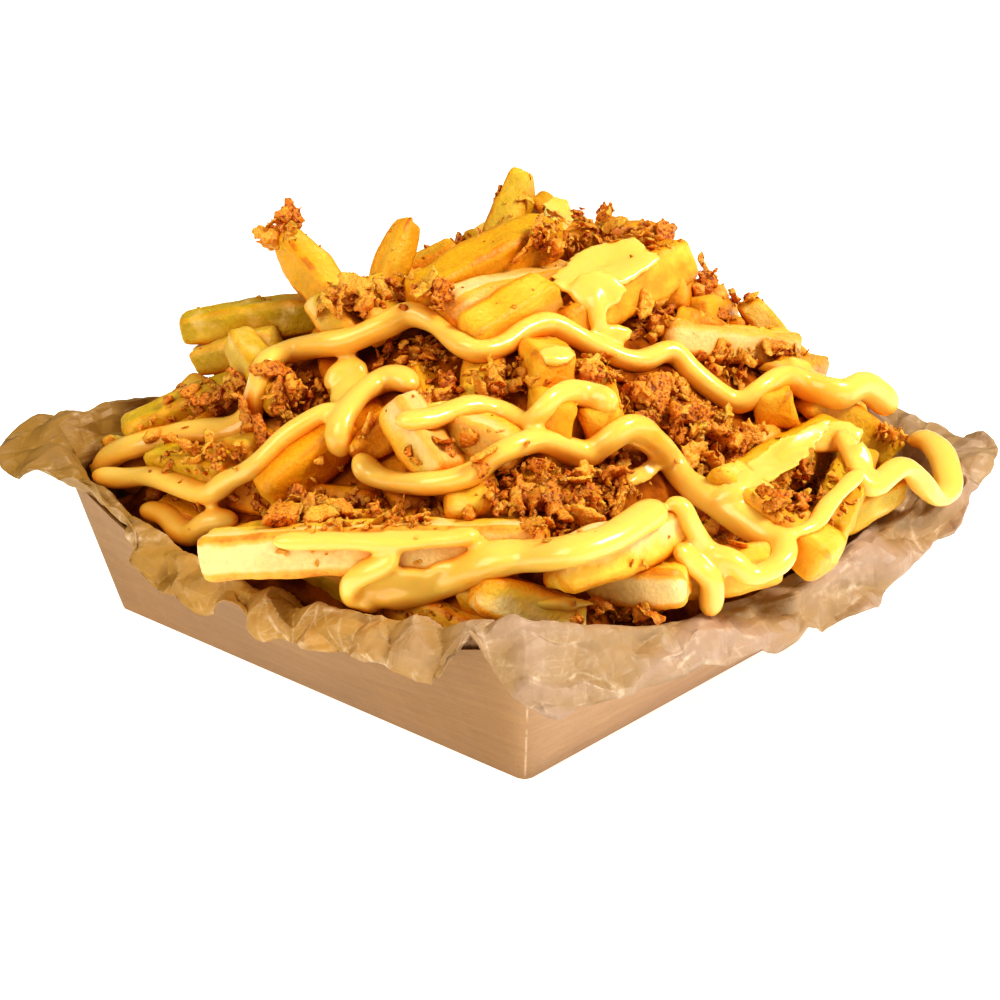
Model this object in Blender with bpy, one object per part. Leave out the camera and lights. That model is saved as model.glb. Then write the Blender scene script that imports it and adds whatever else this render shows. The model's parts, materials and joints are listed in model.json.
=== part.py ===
"""Cheese fries: thick-cut fries under cheese sauce and crisp fried onion, heaped in a paper-lined board tray.

Metres, +Z up. The origin is the middle of the tray's underside, and the tray's sides run along X and Y.
"""

import math
import random

import bmesh
import bpy
import numpy as np
from mathutils import Vector
from mathutils.bvhtree import BVHTree

MM = 0.001

# Colour and roughness of each object
TRAY_LOOK = ((0.52, 0.33, 0.18), 0.75)
PAPER_LOOK = ((0.42, 0.24, 0.1), 0.45)
FOOD_LOOK = ((0.75, 0.42, 0.1), 0.5)
SHARP_ANGLE = 35

# Tray: a flat base and four leaning walls, whose rim bows out and dips half way between the corners
BASE_X = 125 * MM
BASE_Y = 135 * MM
FLARE = 7 * MM
RIM_CORNER = 33 * MM
RIM_DIP = 11 * MM
RIM_BOW = 6 * MM
BOARD = 0.7 * MM
CORNER_RADIUS = 2 * MM
LEAST_RADIUS = 0.5 * MM
WALL_POWER = 1.4
WALL_PER_SIDE = 16
WALL_PER_CORNER = 2
WALL_LEVELS = (0, 0.5, 1)

# Paper: one sheet pressed into the tray, folded over its rim
PAPER = 0.4 * MM
PAPER_GAP = 0.35 * MM
HEM_CLEARANCE = 1.6 * MM
LINER_INSET = BOARD + PAPER_GAP + PAPER / 2
CRUMPLE = 1.5 * MM
CRUMPLE_WAVES = (13, 29, 47)
CRUMPLE_RISE = 0.7
HEM_RAGGEDNESS = 2.6 * MM
HEM_WAVES = (7, 17, 37)
HEM_SEED = 9
LEAST_RISE = 1.4 * MM

# The paper past the rim, in mm, at the corners, mid-sides and half-way between, in turn from the near corner:
# how far it rises over the rim, how far out its fold stands, how far the hem hangs below the fold and
# how far out the hem stands
PAPER_EDGE = (
    (5.5, 2.5, 14, 7),
    (3.8, 3, 10, 7),
    (1.4, 4, 9, 7.5),
    (2.3, 5, 7, 9),
    (1.5, 7.5, 3, 12),
    (13, 5, 12, 9.5),
    (17, 3, 15, 8),
    (16.5, 3.5, 15, 8.5),
    (13, 4, 14, 9),
    (16.5, 3.5, 14.5, 8.5),
    (17, 3, 14, 8),
    (14.5, 5, 10, 11),
    (8, 8, 2, 14),
    (8, 5, 2, 8),
    (6.8, 3.5, 6.5, 6.5),
    (6.8, 2.5, 7.5, 6.5),
)

# Rings of paper past the rim, as shares of the rise, of the fold's reach, of the hem's reach beyond the fold,
# of the hang and of the crumple
PAPER_FOLD = (
    (0.5, 0, 0, 0, 0),
    (1, 0.5, 0, 0, 0.6),
    (0.85, 1, 0, 0, 1),
    (0.85, 1, 0.6, 0.5, 1),
    (0.85, 1, 1, 1, 1),
)

# Heap: the mound that the fries make, and the smaller plain core inside it
MOUND_X = 72 * MM
MOUND_Y = 77 * MM
MOUND_POWER = 5
MOUND_FOOT = 34 * MM
MOUND_TOP = 86 * MM
CORE_SINK = 12 * MM
CORE_GAP = 0.9 * MM
CORE_INSET = BOARD + PAPER_GAP + PAPER + CORE_GAP
CORE_PER_SIDE = 8
CORE_LEVELS = (0, 0.45, 0.8)
CORE_SHARES = (0.93, 0.82, 0.66, 0.46, 0.24)
HEAP_TRIANGLES = 10800

# The dressed side is laid out as it is seen from one eye point, past the tray's near corner
EYE_TURN = 41.8
EYE_RISE = 21.5
EYE_DISTANCE = 500 * MM
AIM = Vector((-2.5, -2.25, 23.1)) * MM

# Fries that show on the dressed side: each end as mm across, up and towards the eye, then the width in mm
SHOWN_FRIES = (
    ((-68.5, -13, 67), (11.5, -10, 76), 9.5),
    ((2, -16.5, 73), (44, -19.8, 79), 9.5),
    ((-9, -22.5, 82), (27, -30, 78), 8.5),
    ((40, -24, 72), (66, -15, 68), 8),
    ((50, 6, 50), (77, -14.5, 60), 9),
    ((76, -8, 52), (84, 10, 22), 8.5),
    ((66, -9, 55), (93, 1, 26), 8.5),
    ((50, 0, 50), (79, 15.5, 20), 10),
    ((72, 24, 18), (93, 10.5, 0), 9.5),
    ((38, 38.5, 26), (68, 35, 6), 8.5),
    ((57, 46, 2), (74, 26, -2), 7),
    ((64, 20.5, 30), (56, 27, -10), 9),
    ((5.5, 76.5, 6), (-4, 46, 8), 8.5),
    ((7.5, 69.5, 0), (26, 52, 8), 8),
    ((-20, 46, 38), (12.5, 62, 10), 10.5),
    ((-12, 43.5, 40), (16, 51, 24), 9.5),
    ((4, 56, 14), (38, 61, 10), 9),
    ((14, 39, 38), (43, 57, 12), 10.5),
    ((-8, 37, 46), (12, 49, 30), 9),
    ((-50, 61, 14), (-34, 41, 26), 9),
    ((-74, 39.5, 10), (-36, 44, 16), 8.5),
    ((-61.5, 38, 18), (-50, 22, 34), 8),
    ((-71, 32, 10), (-52, 37, 14), 7),
    ((-21, 64.5, 14), (-29, 46, 20), 9),
    ((-31, 50, 26), (-26, 39, 36), 9.5),
    ((-41, 47.5, 22), (-34, 37, 33), 9),
    ((-55, 1, 44), (-35, 18, 46), 12),
    ((-34, 10, 58), (-17, 24, 54), 9),
    ((-24, 23, 54), (-12.5, 5.5, 68), 9),
    ((-11, 18, 62), (4, 11, 70), 9),
    ((12.5, 17.5, 68), (10, 27, 40), 9.5),
    ((24, 16.5, 64), (22, 27, 36), 9),
    ((13, 29, 58), (6, 36, 30), 9.5),
    ((-87, 15, 14), (-50, 30, 26), 8.5),
    ((-80, 9, 24), (-62, 6.5, 38), 8),
    ((26, -27, 62), (50, -26, 54), 8),
    ((12, -16, 76), (42, -5, 66), 9.5),
)

# Fries in general, and the ones that fill the rest of the heap
FRY_SIZE = 9 * MM
FRY_SPREAD = (0.86, 1.08)
FRY_SHORTEST = 40 * MM
FRY_LONGEST = 78 * MM
FRY_ROLL = 0.3
FRY_STATIONS = ((0, 0.8), (0.05, 1), (0.95, 1), (1, 0.8))
FRY_CORNER = 0.7
FRY_SEED = 11
FILL_FRIES = 46
TRIALS = 60
TILT_REACH = 0.7
TILT_SPREAD = 0.2
HIDING = 1.5
FILL_SINK = 0.7
FILL_DEPTH = 6 * MM
UNDER_FROM = 10 * MM
UNDER_OVER = 30 * MM
UNDER_DEPTH = 4.5 * MM

# Easing the fries apart, and off the paper
EASE_ROUNDS = 60
EASE_STEP = 0.6
BITE = 0.8 * MM
SHOWN_SHIFT = 0.12
CREST_SPARE = 1.5 * MM
DIAGONAL_REACH = 1.15
PAPER_SPARE = 2.4 * MM
SETTLE_STEPS = 30
SETTLE_STEP = 0.7 * MM

# Runs of sauce on the dressed side: radius in mm, then the places it passes as mm across and up as seen
SHOWN_SAUCE = (
    (3.2, ((-94.5, 6), (-89.5, 10.5), (-83.5, 13), (-70.5, 16), (-63.5, 16), (-58.5, 18.5), (-56.5, 25.5),
           (-53.5, 32.5), (-44, 35.5), (-35, 37), (-26.5, 40.5), (-21, 43), (-16, 41.5), (-10.5, 37),
           (-4.5, 34.5), (1, 36), (6, 39.5), (11.5, 40.5), (17.5, 38), (23, 35), (31.5, 32), (39.5, 34.5),
           (44, 30), (50, 25), (55.5, 22.5), (60.5, 25.5), (66, 28.5), (72, 26), (79, 24.5), (84, 26.5),
           (88, 24.5), (94, 18))),
    (3.0, ((94, 18), (98.5, 16), (102.5, 12), (104.5, 7), (104, 2.5), (101.5, 0.5), (98.5, 3), (94.5, 7.5),
           (91.5, 7), (87, 3.5), (84, 4.5), (81, 11.5), (78.5, 16))),
    (2.9, ((-94.5, 6), (-88, 5), (-80.5, 5.5), (-73, 3), (-67.5, 1.5), (-63, 4.5), (-56.5, 8), (-50.5, 14),
           (-43, 19), (-37, 21.5))),
    (3.2, ((-83.5, -2), (-77.5, -3.5), (-72, -8), (-67, -5), (-60.5, -4.5))),
    (3.1, ((-19, 25.5), (-22.5, 28), (-26.5, 28), (-32.5, 24.5), (-36.5, 19), (-37.5, 14.5), (-36, 10))),
    (3.1, ((-33.5, 10.5), (-29.5, 6), (-22.5, 4), (-14, 4), (-6.5, 6), (-1.5, 10), (5, 13), (10.5, 13.5),
           (19.5, 10.5), (24, 13), (30, 16.5), (36, 13), (39.5, 9), (43.5, 4), (51, -1), (61.5, -8),
           (65.5, -10), (65, -14.5), (58.5, -17.5), (54, -14.5), (48, -12.5), (44.5, -6.5), (42, -1.5),
           (38, -1.5))),
    (3.4, ((38, -1.5), (32.5, -4.5), (24, -9.5), (12.5, -12.5), (0.5, -13.5), (-9.5, -17), (-17, -20.5),
           (-23, -20.5), (-33, -22))),
    (2.6, ((-24.5, -10.5), (-26.5, -14.5), (-34, -18.5), (-35, -24.5))),
    (2.4, ((-53, -9.5), (-35, -9.5), (-23, -10), (-4.5, -8))),
    (2.7, ((-24.5, 18.5), (-16, 19), (-7, 22), (0, 20.5), (6.5, 18), (12.5, 23.5), (17, 25), (23, 23),
           (29.5, 19))),
    (2.4, ((-40, 25.5), (-38, 29.5), (-33.5, 31), (-31, 28.5))),
    (4.2, ((11, 54), (18.5, 55), (28, 54), (36, 54))),
    (2.3, ((23, 53.5), (22.5, 48), (22.5, 42), (24, 38))),
    (3.6, ((51.5, 0.5), (60.5, 7), (69.5, 12.5), (78.5, 16))),
    (2.8, ((84, 7), (76.5, -0.5), (72.5, -6), (66, -8))),
    (2.8, ((40.5, -10.5), (44.5, -14.5), (49, -18.5), (48.5, -27))),
    (2.6, ((70.5, 35.5), (76.5, 30), (80.5, 28))),
)

# Runs on the far side, as waves in plan across the mound: radius, distance from its middle, length and
# swing in mm, and number of waves
FAR_SAUCE = ((3.1, 40, 110, 6, 3.5), (3.0, 63, 68, 6, 2.5))
FAR_BOW = 10
FAR_UNEVENNESS = 0.3
FAR_BEAT = 5
FAR_PLACES = 6

SAUCE_STEP = 5.4 * MM
SAUCE_SIDES = 5
SAUCE_END = 0.6
SAUCE_FLATNESS = 0.8
SAUCE_STEEPEST = 1.4
SAUCE_BLURS = 2
SAUCE_LIFT = 0.5
SAUCE_OFF_PAPER = 0.9 * MM
ROUTE_FINENESS = 12
RAISE_STEPS = 40
RAISE_STEP = 0.4 * MM

# Heaps of crisp onion on the dressed side: place across and up as seen and half-sizes in mm, number of flakes
SHOWN_ONION = (
    ((14, 6), (20, 8), 10),
    ((44, 17), (16, 10), 6),
    ((-9, 30), (13, 9), 5),
    ((-33, 1), (18, 6), 6),
    ((-68, 6), (12, 6), 3),
    ((-50, 22), (10, 8), 3),
    ((26, 60), (15, 5), 5),
    ((-32, 51), (16, 9), 5),
    ((70, 5), (11, 8), 4),
    ((93, 15), (5, 3.5), 2),
    ((58, 32), (12, 4), 2),
    ((-47.5, 62), (5, 2.5), 1),
)
FAR_ONION = 14
FAR_ONION_AWAY = (5, 66)
FAR_ONION_ACROSS = (-60, 60)
ONION_SEED = 5
FLAKE_SIZES = (7, 12)
FLAKE_CORNERS = ((1, 0, 0), (0, 0.55, 0), (-1, 0, 0), (0, -0.55, 0), (0, 0, 0.38), (0, 0, -0.38))
FLAKE_TILT = 0.6
FLAKE_UNEVENNESS = 0.1
FLAKE_LIFT = 0.05


def outline(half_x, half_y, radius, per_side, per_corner):
    """Stations round a rounded rectangle from its near corner, +X -Y, as (point, outward, turn).

    turn goes from 0 to 1 round the tray.
    """
    stations = []
    corners = ((1, -1), (1, 1), (-1, 1), (-1, -1))
    per_quarter = per_side + per_corner
    for quarter, (sign_x, sign_y) in enumerate(corners):
        centre = Vector((sign_x * (half_x - radius), sign_y * (half_y - radius)))
        start = math.radians(90 * quarter - 90)
        for k in range(per_corner + 1):
            angle = start + math.radians(90) * k / per_corner
            outward = Vector((math.cos(angle), math.sin(angle)))
            turn = (quarter + (k / per_corner - 0.5) * per_corner / per_quarter) / 4
            stations.append((centre + outward * radius, outward, turn % 1))
        next_x, next_y = corners[(quarter + 1) % 4]
        first = centre + outward * radius
        last = Vector((next_x * (half_x - radius), next_y * (half_y - radius))) + outward * radius
        for k in range(1, per_side):
            turn = (quarter + (per_corner / 2 + k) / per_quarter) / 4
            stations.append((first.lerp(last, k / per_side), outward, turn % 1))
    return stations


def rim_height(middle):
    """Height of the rim, given how near a place is to the middle of its side."""
    return RIM_CORNER - RIM_DIP * middle


def wall_ring(height, inset, per_side=WALL_PER_SIDE, per_corner=WALL_PER_CORNER):
    """The tray's wall at a share of its height, moved inwards by inset, as (point, outward, turn)."""
    half_x = BASE_X / 2 + FLARE * height
    half_y = BASE_Y / 2 + FLARE * height
    radius = max(CORNER_RADIUS - inset, LEAST_RADIUS)
    ring = []
    for point, outward, turn in outline(half_x - inset, half_y - inset, radius, per_side, per_corner):
        if abs(outward.x) > abs(outward.y):
            off_middle = point.y / (half_y - CORNER_RADIUS)
        else:
            off_middle = point.x / (half_x - CORNER_RADIUS)
        middle = max(0, 1 - off_middle**2)
        at = point + outward * RIM_BOW * middle * height**WALL_POWER
        ring.append((Vector((at.x, at.y, rim_height(middle) * height)), outward, turn))
    return ring


def points_of(ring):
    """The bare points of a ring of stations."""
    return [point for point, *_ in ring]


def skin(bm, rings):
    """Quads between each closed ring of points and the next. Returns the rings' vertices."""
    rows = [[bm.verts.new(p) for p in ring] for ring in rings]
    for low, high in zip(rows, rows[1:]):
        for k in range(len(low)):
            n = (k + 1) % len(low)
            bm.faces.new((low[k], low[n], high[n], high[k]))
    return rows


def capped_skin(bm, rings):
    """A closed body through rings of points, with its two ends filled."""
    rows = skin(bm, rings)
    bm.faces.new(rows[0])
    bm.faces.new(rows[-1])


def closed_mesh(name, bm):
    """A mesh from a finished bmesh, its faces pointing out."""
    bmesh.ops.recalc_face_normals(bm, faces=bm.faces)
    if bm.calc_volume(signed=True) < 0:
        bmesh.ops.reverse_faces(bm, faces=bm.faces)
    mesh = bpy.data.meshes.new(name)
    bm.to_mesh(mesh)
    bm.free()
    return mesh


def to_object(name, bm, look):
    """A named object with its own material from a finished bmesh."""
    colour, roughness = look
    mesh = closed_mesh(name, bm)
    obj = bpy.data.objects.new(name, mesh)
    bpy.context.scene.collection.objects.link(obj)
    material = bpy.data.materials.new(name)
    material.use_nodes = True
    shader = material.node_tree.nodes["Principled BSDF"]
    shader.inputs["Base Color"].default_value = (*colour, 1)
    shader.inputs["Roughness"].default_value = roughness
    mesh.materials.append(material)
    mesh.shade_smooth()
    mesh.set_sharp_from_angle(angle=math.radians(SHARP_ANGLE))
    return obj


def split_quads(bm):
    """Splits faces across their shorter diagonal, so that walls side by side fold alike and never cross."""
    bmesh.ops.triangulate(bm, faces=bm.faces, quad_method="SHORT_EDGE")


def make_tray():
    """The folded board tray."""
    bm = bmesh.new()
    outer = [points_of(wall_ring(height, 0)) for height in WALL_LEVELS]
    inner = [points_of(wall_ring(height, BOARD)) for height in WALL_LEVELS]
    for point in inner[0]:
        point.z = BOARD
    capped_skin(bm, outer + inner[::-1])
    split_quads(bm)
    return to_object("tray", bm, TRAY_LOOK)


def crease(turn, waves, seed):
    """An uneven zigzag round the tray, from -1 to 1, with sharp folds like creased paper."""
    draw = random.Random(seed)
    total = 0.0
    for wave in waves:
        place = turn * wave + draw.random()
        total += 4 * abs(place - math.floor(place + 0.5)) - 1
    return total / len(waves)


def paper_edge(turn):
    """The four sizes of PAPER_EDGE at a place round the tray, in metres."""
    place = (turn % 1) * len(PAPER_EDGE)
    low = int(place) % len(PAPER_EDGE)
    high = (low + 1) % len(PAPER_EDGE)
    share = place - int(place)
    share = share * share * (3 - 2 * share)
    return [(a + (b - a) * share) * MM for a, b in zip(PAPER_EDGE[low], PAPER_EDGE[high])]


def paper_rings():
    """Rings of the paper's middle surface, from the floor up the wall, over the rim and down to the hem."""
    rings = [points_of(wall_ring(height, LINER_INSET)) for height in WALL_LEVELS]
    for point in rings[0]:
        point.z = LINER_INSET
    top = wall_ring(1, LINER_INSET)
    for kind, (rising, fold_share, hem_share, hang, rucked) in enumerate(PAPER_FOLD):
        ring = []
        for point, outward, turn in top:
            rise, fold_out, drop, hem_out = paper_edge(turn)
            ruck = CRUMPLE * rucked * crease(turn, CRUMPLE_WAVES, kind)
            out = fold_out * fold_share + (hem_out - fold_out) * hem_share + ruck
            if fold_share:
                out += LINER_INSET
            if fold_share == 1:
                out = max(out, LINER_INSET + HEM_CLEARANCE)
            z = point.z + max(rise * rising + CRUMPLE_RISE * ruck, LEAST_RISE) - drop * hang
            if hang == 1:
                z += HEM_RAGGEDNESS * crease(turn, HEM_WAVES, HEM_SEED)
            ring.append(Vector((point.x + outward.x * out, point.y + outward.y * out, z)))
        rings.append(ring)
    return rings


def make_paper():
    """The greaseproof sheet, its edge folded over the rim and rucked."""
    bm = bmesh.new()
    rows = skin(bm, paper_rings())
    middle = bm.verts.new((0, 0, LINER_INSET))
    for k, vert in enumerate(rows[0]):
        bm.faces.new((middle, rows[0][(k + 1) % len(rows[0])], vert))
    split_quads(bm)
    obj = to_object("paper", bm, PAPER_LOOK)
    wall = obj.modifiers.new("thickness", "SOLIDIFY")
    wall.thickness = PAPER
    wall.offset = 0
    return obj


def mound_height(x, y):
    """Height of the mound's surface over a place on the tray. Takes numbers or arrays."""
    share = (abs(x) / MOUND_X) ** MOUND_POWER + (abs(y) / MOUND_Y) ** MOUND_POWER
    return MOUND_FOOT + (MOUND_TOP - MOUND_FOOT) * (1 - share ** (2 / MOUND_POWER))


def eye_axes():
    """Unit directions across, up and back to the eye."""
    turn = math.radians(EYE_TURN)
    rise = math.radians(EYE_RISE)
    across = Vector((math.cos(turn), math.sin(turn), 0))
    back = Vector((math.sin(turn) * math.cos(rise), -math.cos(turn) * math.cos(rise), math.sin(rise)))
    return across, back.cross(across), back


ACROSS, UPWARD, BACK = eye_axes()
EYE = AIM + BACK * EYE_DISTANCE


def from_eye(seen):
    """The point seen at (across, up) from the aim point and brought towards the eye, all in mm."""
    on_plane = AIM + ACROSS * seen[0] * MM + UPWARD * seen[1] * MM
    return EYE + (on_plane - EYE) * (1 - seen[2] * MM / EYE_DISTANCE)


def as_seen(points):
    """Across, up and back coordinates of points from the eye, with perspective."""
    away = points - np.array(EYE)
    across, up, back = (away @ np.array(axis) for axis in (ACROSS, UPWARD, BACK))
    return np.stack((across / -back * EYE_DISTANCE, up / -back * EYE_DISTANCE, back), -1)


def closest(a0, a1, b0, b1):
    """Shares along rows of segments a and b where they come closest, and the gap from b to a there."""
    along_a, along_b = a1 - a0, b1 - b0
    apart = a0 - b0
    aa = (along_a**2).sum(-1)
    bb = (along_b**2).sum(-1)
    ab = (along_a * along_b).sum(-1)
    ra = (along_a * apart).sum(-1)
    rb = (along_b * apart).sum(-1)
    s = np.clip((ab * rb - ra * bb) / np.maximum(aa * bb - ab * ab, 1e-12), 0, 1)
    t = np.clip((ab * s + rb) / bb, 0, 1)
    s = np.clip((ab * t - ra) / aa, 0, 1)
    gap = apart + along_a * s[..., None] - along_b * t[..., None]
    return s, t, gap


def hold_length(ends, length):
    """Brings each fry back to its own length about its middle."""
    middle = ends.mean(1)
    along = ends[:, 1] - ends[:, 0]
    along *= (length / np.maximum(np.linalg.norm(along, axis=1), 1e-9))[:, None] / 2
    ends[:, 0] = middle - along
    ends[:, 1] = middle + along


def paper_crest(x, y):
    """Height that clears the paper's fold at the wall nearest to a place."""
    across_x, across_y = x / (BASE_X / 2 + FLARE), y / (BASE_Y / 2 + FLARE)
    if abs(across_x) > abs(across_y):
        middle = 1 - min(across_y**2, 1)
        turn = (across_y + 1) / 8 if x > 0 else 0.5 + (1 - across_y) / 8
    else:
        middle = 1 - min(across_x**2, 1)
        turn = 0.25 + (1 - across_x) / 8 if y > 0 else 0.75 + (across_x + 1) / 8
    return rim_height(middle) + paper_edge(turn)[0] + CREST_SPARE


def keep_in_paper(ends, reach):
    """Moves the ends of low fries in from the paper's walls, or up on to its fold where that is nearer."""
    halves = np.array((BASE_X / 2, BASE_Y / 2))
    for side in (0, 1):
        point = ends[:, side]
        lift = np.array([paper_crest(x, y) for x, y, _ in point]) + reach - point[:, 2]
        height = np.clip((point[:, 2] - reach) / RIM_CORNER, 0, 1)[:, None]
        middle = 1 - np.clip(point[:, 1::-1] / halves[::-1], -1, 1) ** 2
        wall = halves + FLARE * height + RIM_BOW * middle * height**WALL_POWER
        limit = wall - CORE_INSET - DIAGONAL_REACH * reach[:, None]
        past = (np.abs(point[:, :2]) - limit).max(1)
        up = (lift > 0) & (lift < past)
        point[up, 2] += lift[up]
        inwards = (lift > 0) & ~up
        point[inwards, :2] = np.clip(point[inwards, :2], -limit[inwards], limit[inwards])


def keep_on_mound(ends, reach):
    """Holds the filling fries under the mound's surface, deeper where the shown fries lie over them."""
    facing = np.array(BACK)
    facing[2] = 0
    facing /= np.linalg.norm(facing)
    for side in (0, 1):
        point = ends[:, side]
        dressed = np.clip((point @ facing + UNDER_FROM) / UNDER_OVER, 0, 1)
        top = mound_height(point[:, 0], point[:, 1]) - reach * FILL_SINK - UNDER_DEPTH * dressed
        point[:, 2] = np.clip(point[:, 2], top - FILL_DEPTH, top)


def ease_apart(ends, reach, fill):
    """Moves crossing fries apart until they just bite into each other.

    The shown ones only go along the line of sight, so that they stay where they are seen.
    """
    length = np.linalg.norm(ends[:, 1] - ends[:, 0], axis=1)
    sight = ends - np.array(EYE)
    sight /= np.linalg.norm(sight, axis=2)[:, :, None]
    give = np.where(fill, 1.0, SHOWN_SHIFT)
    i, j = np.triu_indices(len(ends), 1)
    for _ in range(EASE_ROUNDS):
        s, t, gap = closest(ends[i, 0], ends[i, 1], ends[j, 0], ends[j, 1])
        far = np.maximum(np.linalg.norm(gap, axis=1), 1e-6)
        deep = np.maximum(reach[i] + reach[j] - BITE - far, 0)
        share = give[i] / (give[i] + give[j])
        push = gap / far[:, None] * deep[:, None] * EASE_STEP
        shift = np.zeros_like(ends)
        weight = np.zeros(ends.shape[:2])
        for which, at, part, sign in ((i, s, share, 1), (j, t, 1 - share, -1)):
            for side, near in ((0, 1 - at), (1, at)):
                np.add.at(shift[:, side], which, sign * push * (part * near)[:, None])
                np.add.at(weight[:, side], which, (deep > 0) * near)
        shift /= np.maximum(weight, 1)[:, :, None]
        along_sight = (shift * sight).sum(2)[:, :, None] * sight
        ends += np.where(fill[:, None, None], shift, along_sight)
        ends_fill = ends[fill]
        keep_on_mound(ends_fill, reach[fill])
        hold_length(ends_fill, length[fill])
        ends[fill] = ends_fill
        keep_in_paper(ends, reach)
    return ends


def trial_fry(draw, reach):
    """Ends of one fry that lies on the mound at random, tilted as the mound's side is."""
    while True:
        x = draw.uniform(-MOUND_X, MOUND_X)
        y = draw.uniform(-MOUND_Y, MOUND_Y)
        if mound_height(x, y) > MOUND_FOOT:
            break
    heading = draw.uniform(0, math.pi)
    half = draw.uniform(FRY_SHORTEST, FRY_LONGEST) / 2
    run = Vector((math.cos(heading), math.sin(heading)))
    step = half * TILT_REACH
    high = mound_height(x + run.x * step, y + run.y * step)
    low = mound_height(x - run.x * step, y - run.y * step)
    tilt = math.atan2(high - low, 2 * step) + draw.uniform(-TILT_SPREAD, TILT_SPREAD)
    along = Vector((run.x * math.cos(tilt), run.y * math.cos(tilt), math.sin(tilt))) * half
    middle = Vector((x, y, (high + low) / 2 - reach))
    return np.array((middle - along, middle + along))


def crowding(trial, reach, ends, reaches, shown):
    """How far a trial fry would sit inside those already laid, and how far it would hide the shown ones."""
    _, _, gap = closest(trial[None, 0], trial[None, 1], ends[:, 0], ends[:, 1])
    deep = np.maximum(reach + reaches - np.linalg.norm(gap, axis=1), 0)
    flat = np.array((1, 1, 0))
    mine, theirs = as_seen(trial), as_seen(ends[:shown])
    s, t, gap = closest(mine[None, 0] * flat, mine[None, 1] * flat, theirs[:, 0] * flat, theirs[:, 1] * flat)
    my_back = mine[0, 2] + (mine[1, 2] - mine[0, 2]) * s
    their_back = theirs[:, 0, 2] + (theirs[:, 1, 2] - theirs[:, 0, 2]) * t
    over = np.maximum(reach + reaches[:shown] - np.linalg.norm(gap, axis=1), 0)
    hidden = np.where(my_back > their_back, over, 0)
    return float((deep**2).sum() + HIDING * (hidden**2).sum())


def lay_fries():
    """Every fry as (end, end, width, roll), in the same places each run."""
    draw = random.Random(FRY_SEED)
    ends = [np.array((from_eye(a), from_eye(b))) for a, b, _ in SHOWN_FRIES]
    reaches = [width * MM / 2 for *_, width in SHOWN_FRIES]
    for _ in range(FILL_FRIES):
        reach = FRY_SIZE / 2 * draw.uniform(*FRY_SPREAD)
        trials = []
        for _ in range(TRIALS):
            trial = trial_fry(draw, reach)[None]
            keep_on_mound(trial, np.array([reach]))
            keep_in_paper(trial, np.array([reach]))
            trials.append(trial[0])
        laid = np.array(ends), np.array(reaches), len(SHOWN_FRIES)
        ends.append(min(trials, key=lambda trial: crowding(trial, reach, *laid)))
        reaches.append(reach)
    fill = np.arange(len(ends)) >= len(SHOWN_FRIES)
    eased = ease_apart(np.array(ends), np.array(reaches), fill)
    fries = []
    for (a, b), reach in zip(eased, reaches):
        fries.append((Vector(a), Vector(b), 2 * reach, draw.uniform(-FRY_ROLL, FRY_ROLL)))
    return fries


def fry_section(edge):
    """Corners of a fry's cut face for a half-width of 1: a square, or with its edges cut at a share of it."""
    if edge == 1:
        return [(1, -1), (1, 1), (-1, 1), (-1, -1)]
    cut = [(1, -edge), (1, edge), (edge, 1), (-edge, 1)]
    return cut + [(-p, -q) for p, q in cut]


def add_fry(bm, fry, edge=1):
    """One fry as a closed shape with blunt ends."""
    a, b, width, roll = fry
    along = (b - a).normalized()
    side = along.cross(Vector((0, 0, 1)))
    if side.length < 0.2:
        side = along.cross(Vector((0, 1, 0)))
    side.normalize()
    up = side.cross(along)
    turned = side * math.cos(roll) + up * math.sin(roll)
    lifted = up * math.cos(roll) - side * math.sin(roll)
    rings = []
    for share, size in FRY_STATIONS:
        centre = a.lerp(b, share)
        half = width / 2 * size
        rings.append([centre + turned * (p * half) + lifted * (q * half) for p, q in fry_section(edge)])
    capped_skin(bm, rings)


def add_core(bm):
    """The plain body inside the heap: it fills the paper up to the rim and rises under the fries."""
    rings = [points_of(wall_ring(height, CORE_INSET, CORE_PER_SIDE, 1)) for height in CORE_LEVELS]
    for point in rings[0]:
        point.z = CORE_INSET
    rim = rings[-1]
    for share in CORE_SHARES:
        ring = []
        for point in rim:
            x, y = point.x * share, point.y * share
            ring.append(Vector((x, y, max(point.z, mound_height(x, y) - CORE_SINK))))
        rings.append(ring)
    capped_skin(bm, rings)


def clears_paper(build, paper):
    """Whether the shape that a function builds stays off the paper."""
    bm = bmesh.new()
    build(bm)
    crossing = BVHTree.FromBMesh(bm).overlap(paper)
    bm.free()
    return not crossing


def settle_in_paper(fries, paper):
    """Moves each fry that would touch the paper in towards the tray's middle, and up, a little at a time."""
    settled = []
    for a, b, width, roll in fries:
        for _ in range(SETTLE_STEPS):
            if clears_paper(lambda bm: add_fry(bm, (a, b, width + PAPER_SPARE, roll)), paper):
                break
            middle = (a + b) / 2
            step = Vector((-middle.x, -middle.y, 0)).normalized() * SETTLE_STEP
            step.z = SETTLE_STEP / 2
            a = a + step
            b = b + step
        settled.append((a, b, width, roll))
    return settled


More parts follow.
